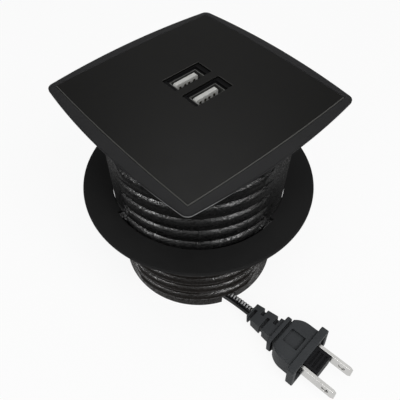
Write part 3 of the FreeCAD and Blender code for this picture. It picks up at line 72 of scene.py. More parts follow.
@dataclass(frozen=True)
class Finish:
    """One material: its colour, gloss and surface texture. Lengths are in millimetres.

    Attributes:
        name: the material's name.
        colour: its middle colour, in linear light.
        roughness: its middle roughness.
        specular: strength of its highlights, 0.5 for plain plastic.
        metallic: 1 for a metal.
        coat: how much clear lacquer lies on it.
        coat_roughness: roughness of that lacquer.
        sheen: soft dusty gloss, as rubber has.
        grain: kind of its surface texture.
        grain_size: width of one grain.
        grain_depth: height of one grain.
        rough_spread: how far the roughness differs from place to place.
        mottle: how far the colour differs from place to place.
        mottle_size: width of those places.
        low_tint: colour below low_from, which fades out up to low_to.
        low_from: height up to which low_tint is full.
        low_to: height from which low_tint is gone.
        slope_highlight_tint: painted highlight colour of the sloping faces, such as a cut
            edge.
        corner_glint_tint: colour of a highlight painted on the rim's lower edge at its four
            corners.
        side_rough: how much rougher the barrel's plain side walls are than its threads.
        speckle: how much the roughness differs from grain to grain.
        crevice: how much painted shade darkens the colour in slots and grooves.
    """

    name: str
    colour: Colour
    roughness: float = 0.5
    specular: float = 0.5
    metallic: float = 0.0
    coat: float = 0.0
    coat_roughness: float = 0.2
    sheen: float = 0.0
    grain: Grain = Grain.MOULDED
    grain_size: float = 0.3
    grain_depth: float = 0.01
    rough_spread: float = 0.12
    mottle: float = 0.12
    mottle_size: float = 9.0
    low_tint: Optional[Colour] = None
    low_from: float = 22.0
    low_to: float = 50.0
    slope_highlight_tint: Optional[Colour] = None
    corner_glint_tint: Optional[Colour] = None
    side_rough: float = 0.0
    speckle: float = 0.0
    crevice: float = 0.0


PANEL = Finish(
    "panel_graphite",
    (0.0056, 0.0055, 0.0051),
    roughness=0.42,
    specular=0.012,
    grain_size=0.22,
    grain_depth=0.004,
    rough_spread=0.06,
    mottle=0.06,
    # pale line on the panel's chamfer: a painted highlight
    slope_highlight_tint=(0.075, 0.075, 0.071),
)
BEZEL = Finish(
    "bezel_black",
    (0.0225, 0.0225, 0.023),
    specular=0.009,
    grain_size=0.25,
    grain_depth=0.006,
    # pale line on the rim's lower corner edges: a painted highlight
    corner_glint_tint=(0.3, 0.3, 0.3),
)
BARREL = Finish(
    "barrel_black",
    (0.0034, 0.0034, 0.0034),
    roughness=0.38,
    specular=0.035,
    grain=Grain.PEBBLED,
    grain_size=0.7,
    grain_depth=0.17,
    rough_spread=0.1,
    speckle=0.45,
    low_tint=(0.0085, 0.0068, 0.0058),
    side_rough=0.5,
)
WASHER = Finish("washer_black", (0.0145, 0.0145, 0.0145), roughness=0.62, specular=0.035)
PORT = Finish("port_black", (0.006, 0.006, 0.0062), specular=0.02)
USB_STEEL = Finish(
    "usb_steel",
    (0.14, 0.14, 0.135),
    metallic=1.0,
    grain=Grain.BRUSHED,
    grain_size=0.12,
    grain_depth=0.004,
)
INSULATOR = Finish(
    "usb_insulator",
    (0.50, 0.50, 0.48),
    specular=0.05,
    grain_size=0.2,
    grain_depth=0.006,
    mottle=0.2,
    mottle_size=2.5,
)
CONTACT = Finish(
    "contact_plate",
    (0.13, 0.11, 0.08),
    roughness=0.35,
    metallic=1.0,
    grain=Grain.BRUSHED,
)
SCREW = Finish(
    "screw_steel",
    (0.42, 0.42, 0.43),
    roughness=0.32,
    metallic=1.0,
    grain=Grain.BRUSHED,
    grain_size=0.15,
)
BOARD = Finish("board_green", (0.012, 0.09, 0.03), roughness=0.35, coat=0.3)
FERRITE = Finish(
    "ferrite",
    (0.03, 0.03, 0.032),
    roughness=0.7,
    grain=Grain.PEBBLED,
    grain_size=0.35,
)
COIL = Finish("coil_tape", (0.62, 0.42, 0.06), roughness=0.35, coat=0.3, grain=Grain.WOUND)
CAN = Finish(
    "can_aluminium",
    (0.70, 0.70, 0.72),
    roughness=0.3,
    metallic=1.0,
    grain=Grain.BRUSHED,
)
PART = Finish("part_black", (0.02, 0.02, 0.021))
FUSE = Finish("fuse_grey", (0.26, 0.25, 0.23), roughness=0.45)
FILM = Finish("film_yellow", (0.62, 0.45, 0.05), roughness=0.4, coat=0.2)
COVER = Finish("cover_black", (0.014, 0.0135, 0.013), specular=0.3, grain_depth=0.015)
GLAND = Finish(
    "gland_rubber",
    (0.016, 0.016, 0.016),
    roughness=0.62,
    specular=0.25,
    sheen=0.1,
)
CORD = Finish(
    "cord_jacket",
    (0.006, 0.006, 0.0065),
    roughness=0.16,
    specular=0.3,
    grain_depth=0.004,
)
# pale colour on the marked core's rib crests: a painted highlight of the glossy ribs
CORD_RIB_HIGHLIGHT = Finish(
    "cord_rib_painted_highlight",
    (0.4, 0.4, 0.4),
    roughness=0.26,
    specular=0.3,
    grain=Grain.WOUND,
    grain_size=0.5,
    grain_depth=0.02,
)
LEAD = Finish("lead_jacket", (0.02, 0.02, 0.021), roughness=0.35)
PLUG = Finish(
    "plug_charcoal",
    (0.044, 0.0465, 0.049),
    roughness=0.55,
    specular=0.08,
    grain=Grain.PEBBLED,
    grain_depth=0.015,
    mottle=0.18,
    # painted shade in the plug's slots, recess and grooves
    crevice=0.8,
)
HOLDER = Finish("holder_black", (0.012, 0.012, 0.013), specular=0.06)
BLADE = Finish(
    "blade_nickel",
    (0.54, 0.535, 0.52),
    roughness=0.2,
    metallic=1.0,
    grain=Grain.BRUSHED,
    grain_size=0.2,
    grain_depth=0.001,
    rough_spread=0.06,
)


# --------------------------------------------------------------- materials


@dataclass(frozen=True)
class Wiring:
    """Adds shader nodes to one node tree and joins them.

    Attributes:
        tree: the node tree of a material or a world.
    """

    tree: bpy.types.NodeTree

    def node(self, kind: str) -> bpy.types.Node:
        """Returns a new shader node of the kind."""
        return self.tree.nodes.new("ShaderNode" + kind)

    def feed(self, entry: Socket, value: Feed) -> None:
        """Joins an output to the input, or sets the input's own value.

        Args:
            entry: the input.
            value: the output to join to it, or the number or colour to set.
        """
        if isinstance(value, Socket):
            self.tree.links.new(value, entry)
        else:
            entry.default_value = value

    def arithmetic(self, operation: str, *values: Feed) -> Socket:
        """Works out a number from others.

        Args:
            operation: what is done with them.
            values: the numbers, in the node's order.

        Returns:
            The output with the result.
        """
        maths = self.node("Math")
        maths.operation = operation
        for entry, value in zip(maths.inputs, values):
            self.feed(entry, value)
        return maths.outputs[0]

    def window(
        self, value: Socket, span: Sequence[float], result: Sequence[float] = (0.0, 1.0)
    ) -> Socket:
        """Maps a number from one span to another, and holds it there outside the span.

        Args:
            value: the number.
            span: where the result starts and ends.
            result: the result at those two places.

        Returns:
            The output with the mapped number.
        """
        ramp = self.node("MapRange")
        self.feed(ramp.inputs["Value"], value)
        ends = ("From Min", "From Max", "To Min", "To Max")
        for name, number in zip(ends, (*span, *result)):
            self.feed(ramp.inputs[name], number)
        return ramp.outputs["Result"]

    def blend(self, factor: Socket, low: Shade, high: Shade) -> Socket:
        """Mixes two colours.

        Args:
            factor: how much of the second colour is taken.
            low: the first colour.
            high: the second colour.

        Returns:
            The output with the mixed colour.
        """
        mix = self.node("Mix")
        mix.data_type = "RGBA"
        self.feed(mix.inputs["Factor"], factor)
        for colour, name in ((low, "A"), (high, "B")):
            entry = next(s for s in mix.inputs if s.type == "RGBA" and s.name == name)
            self.feed(entry, colour if isinstance(colour, Socket) else (*colour, 1.0))
        return next(s for s in mix.outputs if s.type == "RGBA")

    def between(self, factor: Socket, low: Socket, high: Socket) -> Socket:
        """Mixes two shaders.

        Args:
            factor: how much of the second shader is taken.
            low: the first shader.
            high: the second shader.

        Returns:
            The output with the mixed shader.
        """
        mix = self.node("MixShader")
        for entry, value in zip(mix.inputs, (factor, low, high)):
            self.feed(entry, value)
        return mix.outputs[0]

    def upward(self, vector: Socket) -> Socket:
        """Takes the upright part of a vector.

        Args:
            vector: the output with the vector.

        Returns:
            The output with that part.
        """
        split = self.node("SeparateXYZ")
        self.feed(split.inputs["Vector"], vector)
        return split.outputs["Z"]

    def facing(self) -> Socket:
        """Returns how far the surface faces up, from -1 to 1."""
        return self.upward(self.node("NewGeometry").outputs["Normal"])


@dataclass
class Painter:
    """Makes one node material for each finish and puts it on objects.

    Lengths are in millimetres.

    Attributes:
        made: the materials made so far, by name.
        least_rough: the roughness that no finish goes below.
        cloud_detail: layers of noise in the mottled colour.
        moulded_detail: layers of noise in moulded and brushed grain.
        pebbled_detail: layers of noise in pebbled grain.
        pebbled_sharpness: how strong the finer layers of pebbled grain are.
        wave_width: width of one wave of the wound texture at its own scale.
        wave_bend: how uneven the wound texture is.
        brush_stretch: how much slower brushed grain changes along the brushing.
        speckle_span: heights of the grain between which speckle works.
        slope_rise: how far up a face looks where the painted slope highlight starts and is
            full.
        slope_fall: the same where the painted highlight ends and is still full.
        wall_span: distances from the plain walls' middle plane where they end and are full.
        corner: the place of the rim's corner, mirrored to the other three.
        glint_span: distances from the corner where the painted highlight ends and is full.
        glint_height: heights where the painted highlight ends and is full.
        glint_facing: how far up a face looks where the painted highlight starts and is full.
        crevice_reach: how far from a place its surroundings count.
        crevice_open: openness where the painted shade is full, and where the colour is its
            own.
        crevice_samples: rays for each look at the surroundings.
    """

    made: Dict[str, bpy.types.Material] = field(default_factory=dict)
    least_rough: float = 0.03
    cloud_detail: float = 4.0
    moulded_detail: float = 3.0
    pebbled_detail: float = 2.0
    pebbled_sharpness: float = 0.6
    wave_width: float = 0.314
    wave_bend: float = 0.6
    brush_stretch: float = 0.06
    speckle_span: Span = (0.35, 0.65)
    slope_rise: Span = (0.3, 0.45)
    slope_fall: Span = (0.95, 0.85)
    wall_span: Span = (26.0, 14.0)
    corner: Tuple[float, float, float] = (39.7, 39.7, 98.0)
    glint_span: Span = (19.0, 8.0)
    glint_height: Span = (98.5, 98.3)
    glint_facing: Span = (-0.8, -0.4)
    crevice_reach: float = 1.6
    crevice_open: Span = (0.45, 0.8)
    crevice_samples: int = 8

    def material(self, finish: Finish) -> bpy.types.Material:
        """Makes the finish's material, or finds it where it is made already.

        Args:
            finish: the colour, gloss and texture to build.

        Returns:
            The material, with its nodes.
        """
        if finish.name in self.made:
            return self.made[finish.name]
        material = bpy.data.materials.new(finish.name)
        material.use_nodes = True
        wiring = Wiring(material.node_tree)
        shader = material.node_tree.nodes["Principled BSDF"]
        shader.inputs["Specular IOR Level"].default_value = finish.specular
        shader.inputs["Metallic"].default_value = finish.metallic
        shader.inputs["Coat Weight"].default_value = finish.coat
        shader.inputs["Coat Roughness"].default_value = finish.coat_roughness
        shader.inputs["Sheen Weight"].default_value = finish.sheen
        place = wiring.node("TexCoord").outputs["Object"]
        cloud = self._noise(wiring, place, finish.mottle_size, self.cloud_detail)
        grain = self._grain(wiring, place, finish)
        colour = self._colour(wiring, place, cloud, finish)
        wiring.feed(shader.inputs["Base Color"], colour)
        roughness = self._roughness(wiring, place, cloud, grain, finish)
        wiring.feed(shader.inputs["Roughness"], roughness)
        bump = wiring.node("Bump")
        bump.inputs["Strength"].default_value = 1.0
        bump.inputs["Distance"].default_value = finish.grain_depth * MM
        wiring.feed(bump.inputs["Height"], grain)
        wiring.feed(shader.inputs["Normal"], bump.outputs["Normal"])
        self.made[finish.name] = material
        return material

    def put(self, piece: bpy.types.Object, finish: Finish) -> None:
        """Gives the piece the finish on every face.

        Args:
            piece: the object to dress.
            finish: its finish.
        """
        material = self.material(finish)
        if not piece.data.materials:
            piece.data.materials.append(material)
        for index in range(len(piece.data.materials)):
            piece.data.materials[index] = material

    @staticmethod
    def _noise(
        wiring: Wiring, place: Socket, size: float, detail: float, sharpness: float = 0.5
    ) -> Socket:
        """Makes a cloudy texture.

        Args:
            wiring: the material's nodes.
            place: the place on the object.
            size: width of one cloud, in millimetres.
            detail: layers of finer noise.
            sharpness: how strong the finer layers are.

        Returns:
            The output with a number from 0 to 1.
        """
        noise = wiring.node("TexNoise")
        noise.inputs["Scale"].default_value = 1.0 / (size * MM)
        noise.inputs["Detail"].default_value = detail
        noise.inputs["Roughness"].default_value = sharpness
        wiring.feed(noise.inputs["Vector"], place)
        return noise.outputs["Fac"]

    def _grain(self, wiring: Wiring, place: Socket, finish: Finish) -> Socket:
        """Makes the finish's height texture.

        Args:
            wiring: the material's nodes.
            place: the place on the object.
            finish: the finish that has the texture.

        Returns:
            The output with the height.
        """
        if finish.grain is Grain.PEBBLED:
            detail, sharpness = self.pebbled_detail, self.pebbled_sharpness
            return self._noise(wiring, place, finish.grain_size, detail, sharpness)
        if finish.grain is Grain.WOUND:
            wave = wiring.node("TexWave")
            wave.bands_direction = "DIAGONAL"
            wave.inputs["Scale"].default_value = self.wave_width / (finish.grain_size * MM)
            wave.inputs["Distortion"].default_value = self.wave_bend
            wiring.feed(wave.inputs["Vector"], place)
            return wave.outputs["Fac"]
        if finish.grain is Grain.BRUSHED:
            stretch = wiring.node("Mapping")
            stretch.inputs["Scale"].default_value = (1.0, 1.0, self.brush_stretch)
            wiring.feed(stretch.inputs["Vector"], place)
            place = stretch.outputs["Vector"]
        return self._noise(wiring, place, finish.grain_size, self.moulded_detail)

    def _colour(self, wiring: Wiring, place: Socket, cloud: Socket, finish: Finish) -> Socket:
        """Makes the mottled colour, with the finish's tints, painted highlights and painted
        shade.

        Args:
            wiring: the material's nodes.
            place: the place on the object.
            cloud: the cloudy texture that mottles it.
            finish: the finish that has the colour.

        Returns:
            The output with the colour.
        """
        darker = tuple(c * (1.0 - finish.mottle) for c in finish.colour)
        lighter = tuple(min(c * (1.0 + finish.mottle), 1.0) for c in finish.colour)
        colour = wiring.blend(cloud, darker, lighter)
        if finish.low_tint is not None:
            span = metres(finish.low_from, finish.low_to)
            level = wiring.window(wiring.upward(place), span)
            colour = wiring.blend(level, finish.low_tint, colour)
        # painted highlight on the sloping faces
        if finish.slope_highlight_tint is not None:
            colour = wiring.blend(self._slope(wiring), colour, finish.slope_highlight_tint)
        # painted highlight on the rim's lower corner edges
        if finish.corner_glint_tint is not None:
            colour = wiring.blend(self._corner_glint_mask(wiring, place), colour, finish.corner_glint_tint)
        # painted shade: darker where ambient occlusion finds slots and grooves
        if finish.crevice > 0.0:
            deep = tuple(c * (1.0 - finish.crevice) for c in finish.colour)
            colour = wiring.blend(self._openness(wiring), deep, colour)
        return colour

    def _roughness(
        self, wiring: Wiring, place: Socket, cloud: Socket, grain: Socket, finish: Finish
    ) -> Socket:
        """Makes the roughness, which differs from place to place.

        Args:
            wiring: the material's nodes.
            place: the place on the object.
            cloud: the cloudy texture that spreads it.
            grain: the height texture that speckles it.
            finish: the finish that has the roughness.

        Returns:
            The output with the roughness.
        """
        half = finish.rough_spread / 2
        least = max(finish.roughness - half, self.least_rough)
        rough = wiring.window(cloud, (0.0, 1.0), (least, finish.roughness + half))
        if finish.speckle > 0.0:
            spread = (-finish.speckle, finish.speckle)
            spots = wiring.window(grain, self.speckle_span, spread)
            rough = wiring.arithmetic("ADD", rough, spots)
        if finish.side_rough > 0.0:
            wall = self._side_wall(wiring, place)
            rough = wiring.arithmetic("MULTIPLY_ADD", wall, finish.side_rough, rough)
        return rough

    def _slope(self, wiring: Wiring) -> Socket:
        """Finds the faces between level and upright, which get a painted highlight.

        Args:
            wiring: the material's nodes.

        Returns:
            The output with 1 on them, and 0 on level and upright faces.
        """
        facing = wiring.facing()
        rise = wiring.window(facing, self.slope_rise)
        return wiring.arithmetic("MULTIPLY", rise, wiring.window(facing, self.slope_fall))

    def _corner_glint_mask(self, wiring: Wiring, place: Socket) -> Socket:
        """Finds the rim's lower edge at its four corners, where a highlight is painted.

        Args:
            wiring: the material's nodes.
            place: the place on the object.

        Returns:
            The output with 1 there and 0 elsewhere.
        """
        mirrored = wiring.node("VectorMath")
        mirrored.operation = "ABSOLUTE"
        wiring.feed(mirrored.inputs[0], place)
        apart = wiring.node("VectorMath")
        apart.operation = "DISTANCE"
        wiring.feed(apart.inputs[0], mirrored.outputs["Vector"])
        wiring.feed(apart.inputs[1], metres(*self.corner))
        near = wiring.window(apart.outputs["Value"], metres(*self.glint_span))
        low = wiring.window(wiring.upward(place), metres(*self.glint_height))
        upright = wiring.window(wiring.facing(), self.glint_facing)
        edge = wiring.arithmetic("MULTIPLY", near, low)
        return wiring.arithmetic("MULTIPLY", edge, upright)

    def _side_wall(self, wiring: Wiring, place: Socket) -> Socket:
        """Finds the barrel's plain side walls.

        Args:
            wiring: the material's nodes.
            place: the place on the object.

        Returns:
            The output with 1 on the plain walls and 0 on the threads.
        """
        across = wiring.node("VectorMath")
        across.operation = "DOT_PRODUCT"
        wiring.feed(across.inputs[0], place)
        wiring.feed(across.inputs[1], (math.sqrt(0.5), math.sqrt(0.5), 0.0))
        size = wiring.arithmetic("ABSOLUTE", across.outputs["Value"])
        return wiring.window(size, metres(*self.wall_span))

    def _openness(self, wiring: Wiring) -> Socket:
        """Finds the open surfaces, which the painted shade leaves alone.

        Args:
            wiring: the material's nodes.

        Returns:
            The output with 1 on them, and 0 in slots and grooves.
        """
        hollow = wiring.node("AmbientOcclusion")
        hollow.samples = self.crevice_samples
        hollow.inputs["Distance"].default_value = self.crevice_reach * MM
        return wiring.window(hollow.outputs["AO"], self.crevice_open)


@dataclass(frozen=True)
class EdgeRounding:
    """Rounds sharp edges by modifiers, as a moulding's are.

    Attributes:
        joined: corners that lie nearer than this are one, in millimetres.
        flat: faces that meet at less than this are one, in degrees.
        sharp: edges that turn by more than this are rounded, in degrees.
        segments: faces across one rounded edge.
    """

    joined: float = 0.002
    flat: float = 0.3
    sharp: float = 32.0
    segments: int = 2

    def ease(self, piece: bpy.types.Object, width: float) -> None:
        """Rounds the piece's sharp edges.

        Args:
            piece: the object.
            width: how far the rounding reaches from an edge, in millimetres.
        """
        weld = piece.modifiers.new("join_corners", "WELD")
        weld.merge_threshold = self.joined * MM
        whole = piece.modifiers.new("whole_faces", "DECIMATE")
        whole.decimate_type = "DISSOLVE"
        whole.angle_limit = math.radians(self.flat)
        bevel = piece.modifiers.new("eased_edges", "BEVEL")
        bevel.width = width * MM
        bevel.segments = self.segments
        bevel.limit_method = "ANGLE"
        bevel.angle_limit = math.radians(self.sharp)
        bevel.use_clamp_overlap = False
        even = piece.modifiers.new("even_shading", "WEIGHTED_NORMAL")
        even.mode = "FACE_AREA"


# ---------------------------------------------------------- sub-assemblies


@dataclass(frozen=True)
class Piece:
    """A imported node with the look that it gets.

    Attributes:
        node: the node's name.
        finish: its finish.
        edge: rounding of its edges in millimetres, or 0 for none.
    """

    node: str
    finish: Finish
    edge: float = 0.0


class Assembly(ABC):
    """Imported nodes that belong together."""

    @abstractmethod
    def pieces(self) -> Sequence[Piece]:
        """Returns the nodes with their looks."""

    def build(self, painter: Painter) -> None:
        """Dresses each node and rounds the edges that catch the light.

        Args:
            painter: makes the materials.
        """
        for piece in self.pieces():
            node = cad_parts[piece.node]
            painter.put(node, piece.finish)
            if piece.edge > 0.0:
                EdgeRounding().ease(node, piece.edge)
            LOG.info("%s: %s in %s", type(self).__name__, piece.node, piece.finish.name)


@dataclass(frozen=True)
class TopPlate(Assembly):
    """The plate on the table, with its inset panel. Edge roundings are in millimetres."""

    rim_edge: float = 0.22
    panel_edge: float = 0.15

    def pieces(self) -> Sequence[Piece]:
        """Returns the plate's nodes with their looks."""
        return (
            Piece("top_bezel", BEZEL, self.rim_edge),
            Piece("inset_panel", PANEL, self.panel_edge),
            Piece("plate_screws", SCREW),
        )


@dataclass(frozen=True)
class UsbSockets(Assembly):
    """The two sockets with their carrier. Edge roundings are in millimetres."""

    carrier_edge: float = 0.12
    insulator_edge: float = 0.06

    def pieces(self) -> Sequence[Piece]:
        """Lists the sockets' nodes.

        Returns:
            The nodes with their looks, the same for both sockets.
        """
        inside = []
        for side in ("front", "rear"):
            inside += [
                Piece("usb_shell_" + side, USB_STEEL),
                Piece("usb_insulator_" + side, INSULATOR, self.insulator_edge),
                Piece("usb_contacts_" + side, CONTACT),
            ]
        return (
            Piece("port_carrier", PORT, self.carrier_edge),
            *inside,
            Piece("carrier_screws", SCREW),
            Piece("port_board", BOARD),
            Piece("board_screws", SCREW),
        )


@dataclass(frozen=True)
class PowerBoard(Assembly):
    """The board inside the barrel, with the parts on it and the leads to it."""

    def pieces(self) -> Sequence[Piece]:
        """Returns the board's nodes with their looks."""
        return (
            Piece("power_board", BOARD),
            Piece("board_header", PART),
            Piece("transformer_core", FERRITE),
            Piece("transformer_coil", COIL),
            Piece("bulk_capacitor", CAN),
            Piece("filter_capacitor", CAN),
            Piece("output_capacitor_a", CAN),
            Piece("output_capacitor_b", CAN),
            Piece("bridge_rectifier", PART),
            Piece("switching_chip", PART),
            Piece("charge_chip", PART),
            Piece("line_fuse", FUSE),
            Piece("safety_capacitor", FILM),
            Piece("inner_leads", LEAD),
        )


@dataclass(frozen=True)
class ThreadedBarrel(Assembly):
    """The barrel, its bottom cover and the cord's gland. Edge roundings are in millimetres."""

    cover_edge: float = 0.2

    def pieces(self) -> Sequence[Piece]:
        """Returns the barrel's nodes with their looks."""
        return (
            Piece("threaded_barrel", BARREL),
            Piece("bottom_cover", COVER, self.cover_edge),
            Piece("cover_screws", SCREW),
            Piece("gland_cap", COVER),
            Piece("cap_screws", SCREW),
            Piece("cord_gland", GLAND),
        )


@dataclass(frozen=True)
class TableClamp(Assembly):
    """The washer and the nut below the table. Edge roundings are in millimetres."""

    washer_edge: float = 0.25
    nut_edge: float = 0.3

    def pieces(self) -> Sequence[Piece]:
        """Returns the clamp's nodes with their looks."""
        return (
            Piece("clamp_washer", WASHER, self.washer_edge),
            Piece("lock_nut", BARREL, self.nut_edge),
        )


@dataclass(frozen=True)
class MainsPlug(Assembly):
    """The moulded plug on the cord. Edge roundings are in millimetres."""

    body_edge: float = 0.3
    front_edge: float = 0.12

    def pieces(self) -> Sequence[Piece]:
        """Returns the plug's nodes with their looks."""
        return (
            Piece("plug_body", PLUG, self.body_edge),
            Piece("blade_holder", HOLDER, self.front_edge),
            Piece("plug_blades", BLADE, self.front_edge),
        )


@dataclass(frozen=True)
class MainsCord:
    """The flat two-core cord between the gland and the plug. Lengths are in millimetres.

    Attributes:
        route: control points of its smooth line.
        line_steps: points on the line for each control point.
        core: diameter of each core's jacket.
        gap: how far the cores' middles stand apart.
        web: half angle of each core that the web between them covers, in degrees.
        round_steps: faces round each core.
        rib_pitch: length of one rib of the marked core.
        rib_depth: how far its waists lie inside the jacket.
        highlight_share: how much of each rib is pale with a painted highlight.
    """

    route: Sequence[Tuple[float, float, float]] = (
        (-15.0, -12.0, 6.8),
        (-15.0, -21.4, 6.8),
        (-13.4, -31.0, 4.2),
        (-10.9, -40.4, 3.7),
        (-10.2, -49.5, 4.6),
    )
    line_steps: int = 60
    core: float = 2.4
    gap: float = 2.4
    web: float = 18.0
    round_steps: int = 20
    rib_pitch: float = 1.5
    rib_depth: float = 0.3
    highlight_share: float = 0.55

    def line(self) -> List[Vector]:
        """Works out the cord's smooth line.

        Returns:
            Points along it, in metres.
        """
        data = bpy.data.curves.new("cord_line", "CURVE")
        data.dimensions = "3D"
        spline = data.splines.new("NURBS")
        spline.points.add(len(self.route) - 1)
        for point, spot in zip(spline.points, self.route):
            point.co = (*metres(*spot), 1.0)
        spline.order_u = 3
        spline.use_endpoint_u = True
        spline.resolution_u = self.line_steps
        guide = bpy.data.objects.new("cord_line", data)
        bpy.context.scene.collection.objects.link(guide)
        bpy.context.view_layer.update()
        mesh = bpy.data.meshes.new_from_object(guide)
        points = [v.co.copy() for v in mesh.vertices]
        bpy.data.objects.remove(guide)
        bpy.data.meshes.remove(mesh)
        return points

    def waist(self, along: float) -> float:
        """Returns how deep in a waist of the marked core the place is, from 0 to 1."""
        return 0.5 - 0.5 * math.cos(2 * math.pi * along / self.rib_pitch)

    def section(self, along: float) -> List[Span]:
        """Works out the outline of the two joined cores.

        Args:
            along: how far along the cord the outline stands, in millimetres.

        Returns:
            Places across the cord and upward, in millimetres.
        """
        narrow = self.rib_depth * self.waist(along)
        web = math.radians(self.web)
        turn = 2 * (math.pi - web)
        spots = []
        for side, first, radius in (
            (1, web - math.pi, self.core / 2),
            (-1, web, self.core / 2 - narrow),
        ):
            for step in range(self.round_steps + 1):
                angle = first + turn * step / self.round_steps
                across = side * self.gap / 2 + radius * math.cos(angle)
                spots.append((across, radius * math.sin(angle)))
        return spots

    def tube(self, line: List[Vector], painter: Painter) -> bpy.types.Mesh:
        """Makes the jacket's mesh, whose marked core has a highlight painted pale on its
        crests.

        Args:
            line: points along the cord, in metres.
            painter: makes the jacket's materials.

        Returns:
            The mesh, closed at both ends.
        """
        rows = len(line) - 1
        verts = []
        crests = []
        along = 0.0
        for index, spot in enumerate(line):
            before, after = line[max(index - 1, 0)], line[min(index + 1, rows)]
            along += (spot - before).length / MM
            # rows on the rib crests get the painted highlight
            if self.waist(along) < self.highlight_share and index < rows:
                crests.append(index)
            ahead = (after - before).normalized()
            across = ahead.cross(Vector((0, 0, 1))).normalized()
            upward = across.cross(ahead)
            for side, rise in self.section(along):
                verts.append(spot + across * (side * MM) + upward * (rise * MM))
        count = 2 * (self.round_steps + 1)
        faces = []
        for low in range(0, rows * count, count):
            high = low + count
            for step in range(count):
                following = (step + 1) % count
                faces.append((low + step, low + following, high + following, high + step))
        faces.append(tuple(reversed(range(count))))
        faces.append(tuple(range(rows * count, (rows + 1) * count)))
        mesh = bpy.data.meshes.new("mains_cord")
        mesh.from_pydata([tuple(v) for v in verts], [], faces)
        mesh.update()
        for face in mesh.polygons:
            face.use_smooth = len(face.vertices) == 4
        for finish in (CORD, CORD_RIB_HIGHLIGHT):
            mesh.materials.append(painter.material(finish))
        # crest faces of the marked core take the painted highlight material
        for row in crests:
            for step in range(count // 2, count - 1):
                mesh.polygons[row * count + step].material_index = 1
        return mesh

    def build(self, painter: Painter) -> None:
        """Args:
            painter: makes the jacket's materials.
        """
        painter.put(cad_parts["power_cord"], CORD)
        line = self.line()
        cord = bpy.data.objects.new("mains_cord", self.tube(line, painter))
        bpy.context.scene.collection.objects.link(cord)
        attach(cord, "housing")
        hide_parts("power_cord")


# ----------------------------------------------------------- camera, studio


@dataclass(frozen=True)
class PhotoCamera:
    """The photograph's camera. Lengths are in units of the barrel's radius.

    Attributes:
        unit: the barrel's radius, in metres.
        tilt: how far the camera looks down, in radians.
        distance: from the point that the camera looks at.
        focal: focal length, in pixels of the photograph.
        frame_width: the photograph's width, in pixels.
        roll: turn of the picture, in radians.
        aim_x: how far right of the object's middle the camera looks.
        aim_z: height that the camera looks at.
        turn: turn of the object under the camera, in radians.
        sensor: width of the camera's sensor, in millimetres.
        clip: nearest and farthest distance that is seen, in metres.
    """

    unit: float = 0.038
    tilt: float = 0.9048071
    distance: float = 5.7134517
    focal: float = 452.560263
    frame_width: float = 400.0
    roll: float = 0.0034207
    aim_x: float = 0.0177803
    aim_z: float = 0.9234682
    turn: float = 0.7294387
    sensor: float = 36.0
    clip: Span = (0.01, 20.0)

    def build(self) -> None:
        """Makes the camera and makes it the scene's."""
        spin = Matrix.Rotation(-self.turn, 3, "Z")
        back = Vector((0, -math.cos(self.tilt), math.sin(self.tilt)))
        right = Vector((1, 0, 0))
        upward = Vector((0, math.sin(self.tilt), math.cos(self.tilt)))
        cos_r, sin_r = math.cos(self.roll), math.sin(self.roll)
        across = right * cos_r + upward * sin_r
        above = upward * cos_r - right * sin_r
        place = (Vector((self.aim_x, 0, self.aim_z)) + back * self.distance) * self.unit
        rotation = Matrix([spin @ v for v in (across, above, back)]).transposed()
        data = bpy.data.cameras.new("photo_camera")
        data.sensor_width = self.sensor
        data.lens = self.focal / self.frame_width * self.sensor
        data.clip_start, data.clip_end = self.clip
        camera = bpy.data.objects.new("photo_camera", data)
        camera.matrix_world = Matrix.Translation(spin @ place) @ rotation.to_4x4()
        bpy.context.scene.collection.objects.link(camera)
        bpy.context.scene.camera = camera
        LOG.info("PhotoCamera: lens %.2f mm", data.lens)


@dataclass(frozen=True)
class SoftBox:
    """A rectangular lamp. Lengths are in metres.

    Attributes:
        name: the lamp's name.
        azimuth: turn about the upright from -Y, in degrees.
        elevation: height above the floor, in degrees.
        power: in watts.
        distance: from the point that it is turned to.
        width: its level side.
        height: its upright side.
        shines_on: nodes on which it only makes highlights. Where it names none, the lamp
            lights everything.
    """

    name: str
    azimuth: float
    elevation: float
    power: float
    distance: float = 1.0
    width: float = 0.5
    height: float = 0.5
    shines_on: Tuple[str, ...] = ()

    def build(self, aim: Vector) -> None:
        """Makes the lamp.

        Args:
            aim: the point that it is turned to.
        """
        data = bpy.data.lights.new(self.name, "AREA")
        data.shape = "RECTANGLE"
        data.size, data.size_y = self.width, self.height
        data.energy = self.power
        turn, rise = math.radians(self.azimuth), math.radians(self.elevation)
        level = Vector((math.sin(turn), -math.cos(turn), 0)) * math.cos(rise)
        away = level + Vector((0, 0, math.sin(rise)))
        lamp = bpy.data.objects.new(self.name, data)
        lamp.location = aim + away * self.distance
        lamp.rotation_euler = away.to_track_quat("Z", "Y").to_euler()
        bpy.context.scene.collection.objects.link(lamp)
        if self.shines_on:
            lamp.visible_diffuse = False
            group = bpy.data.collections.new(self.name + "_nodes")
            for node in self.shines_on:
                group.objects.link(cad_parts[node])
            lamp.light_linking.receiver_collection = group
        LOG.info("SoftBox: %s", self.name)


THREADS = ("threaded_barrel", "lock_nut")
PLATE = ("top_bezel", "inset_panel")


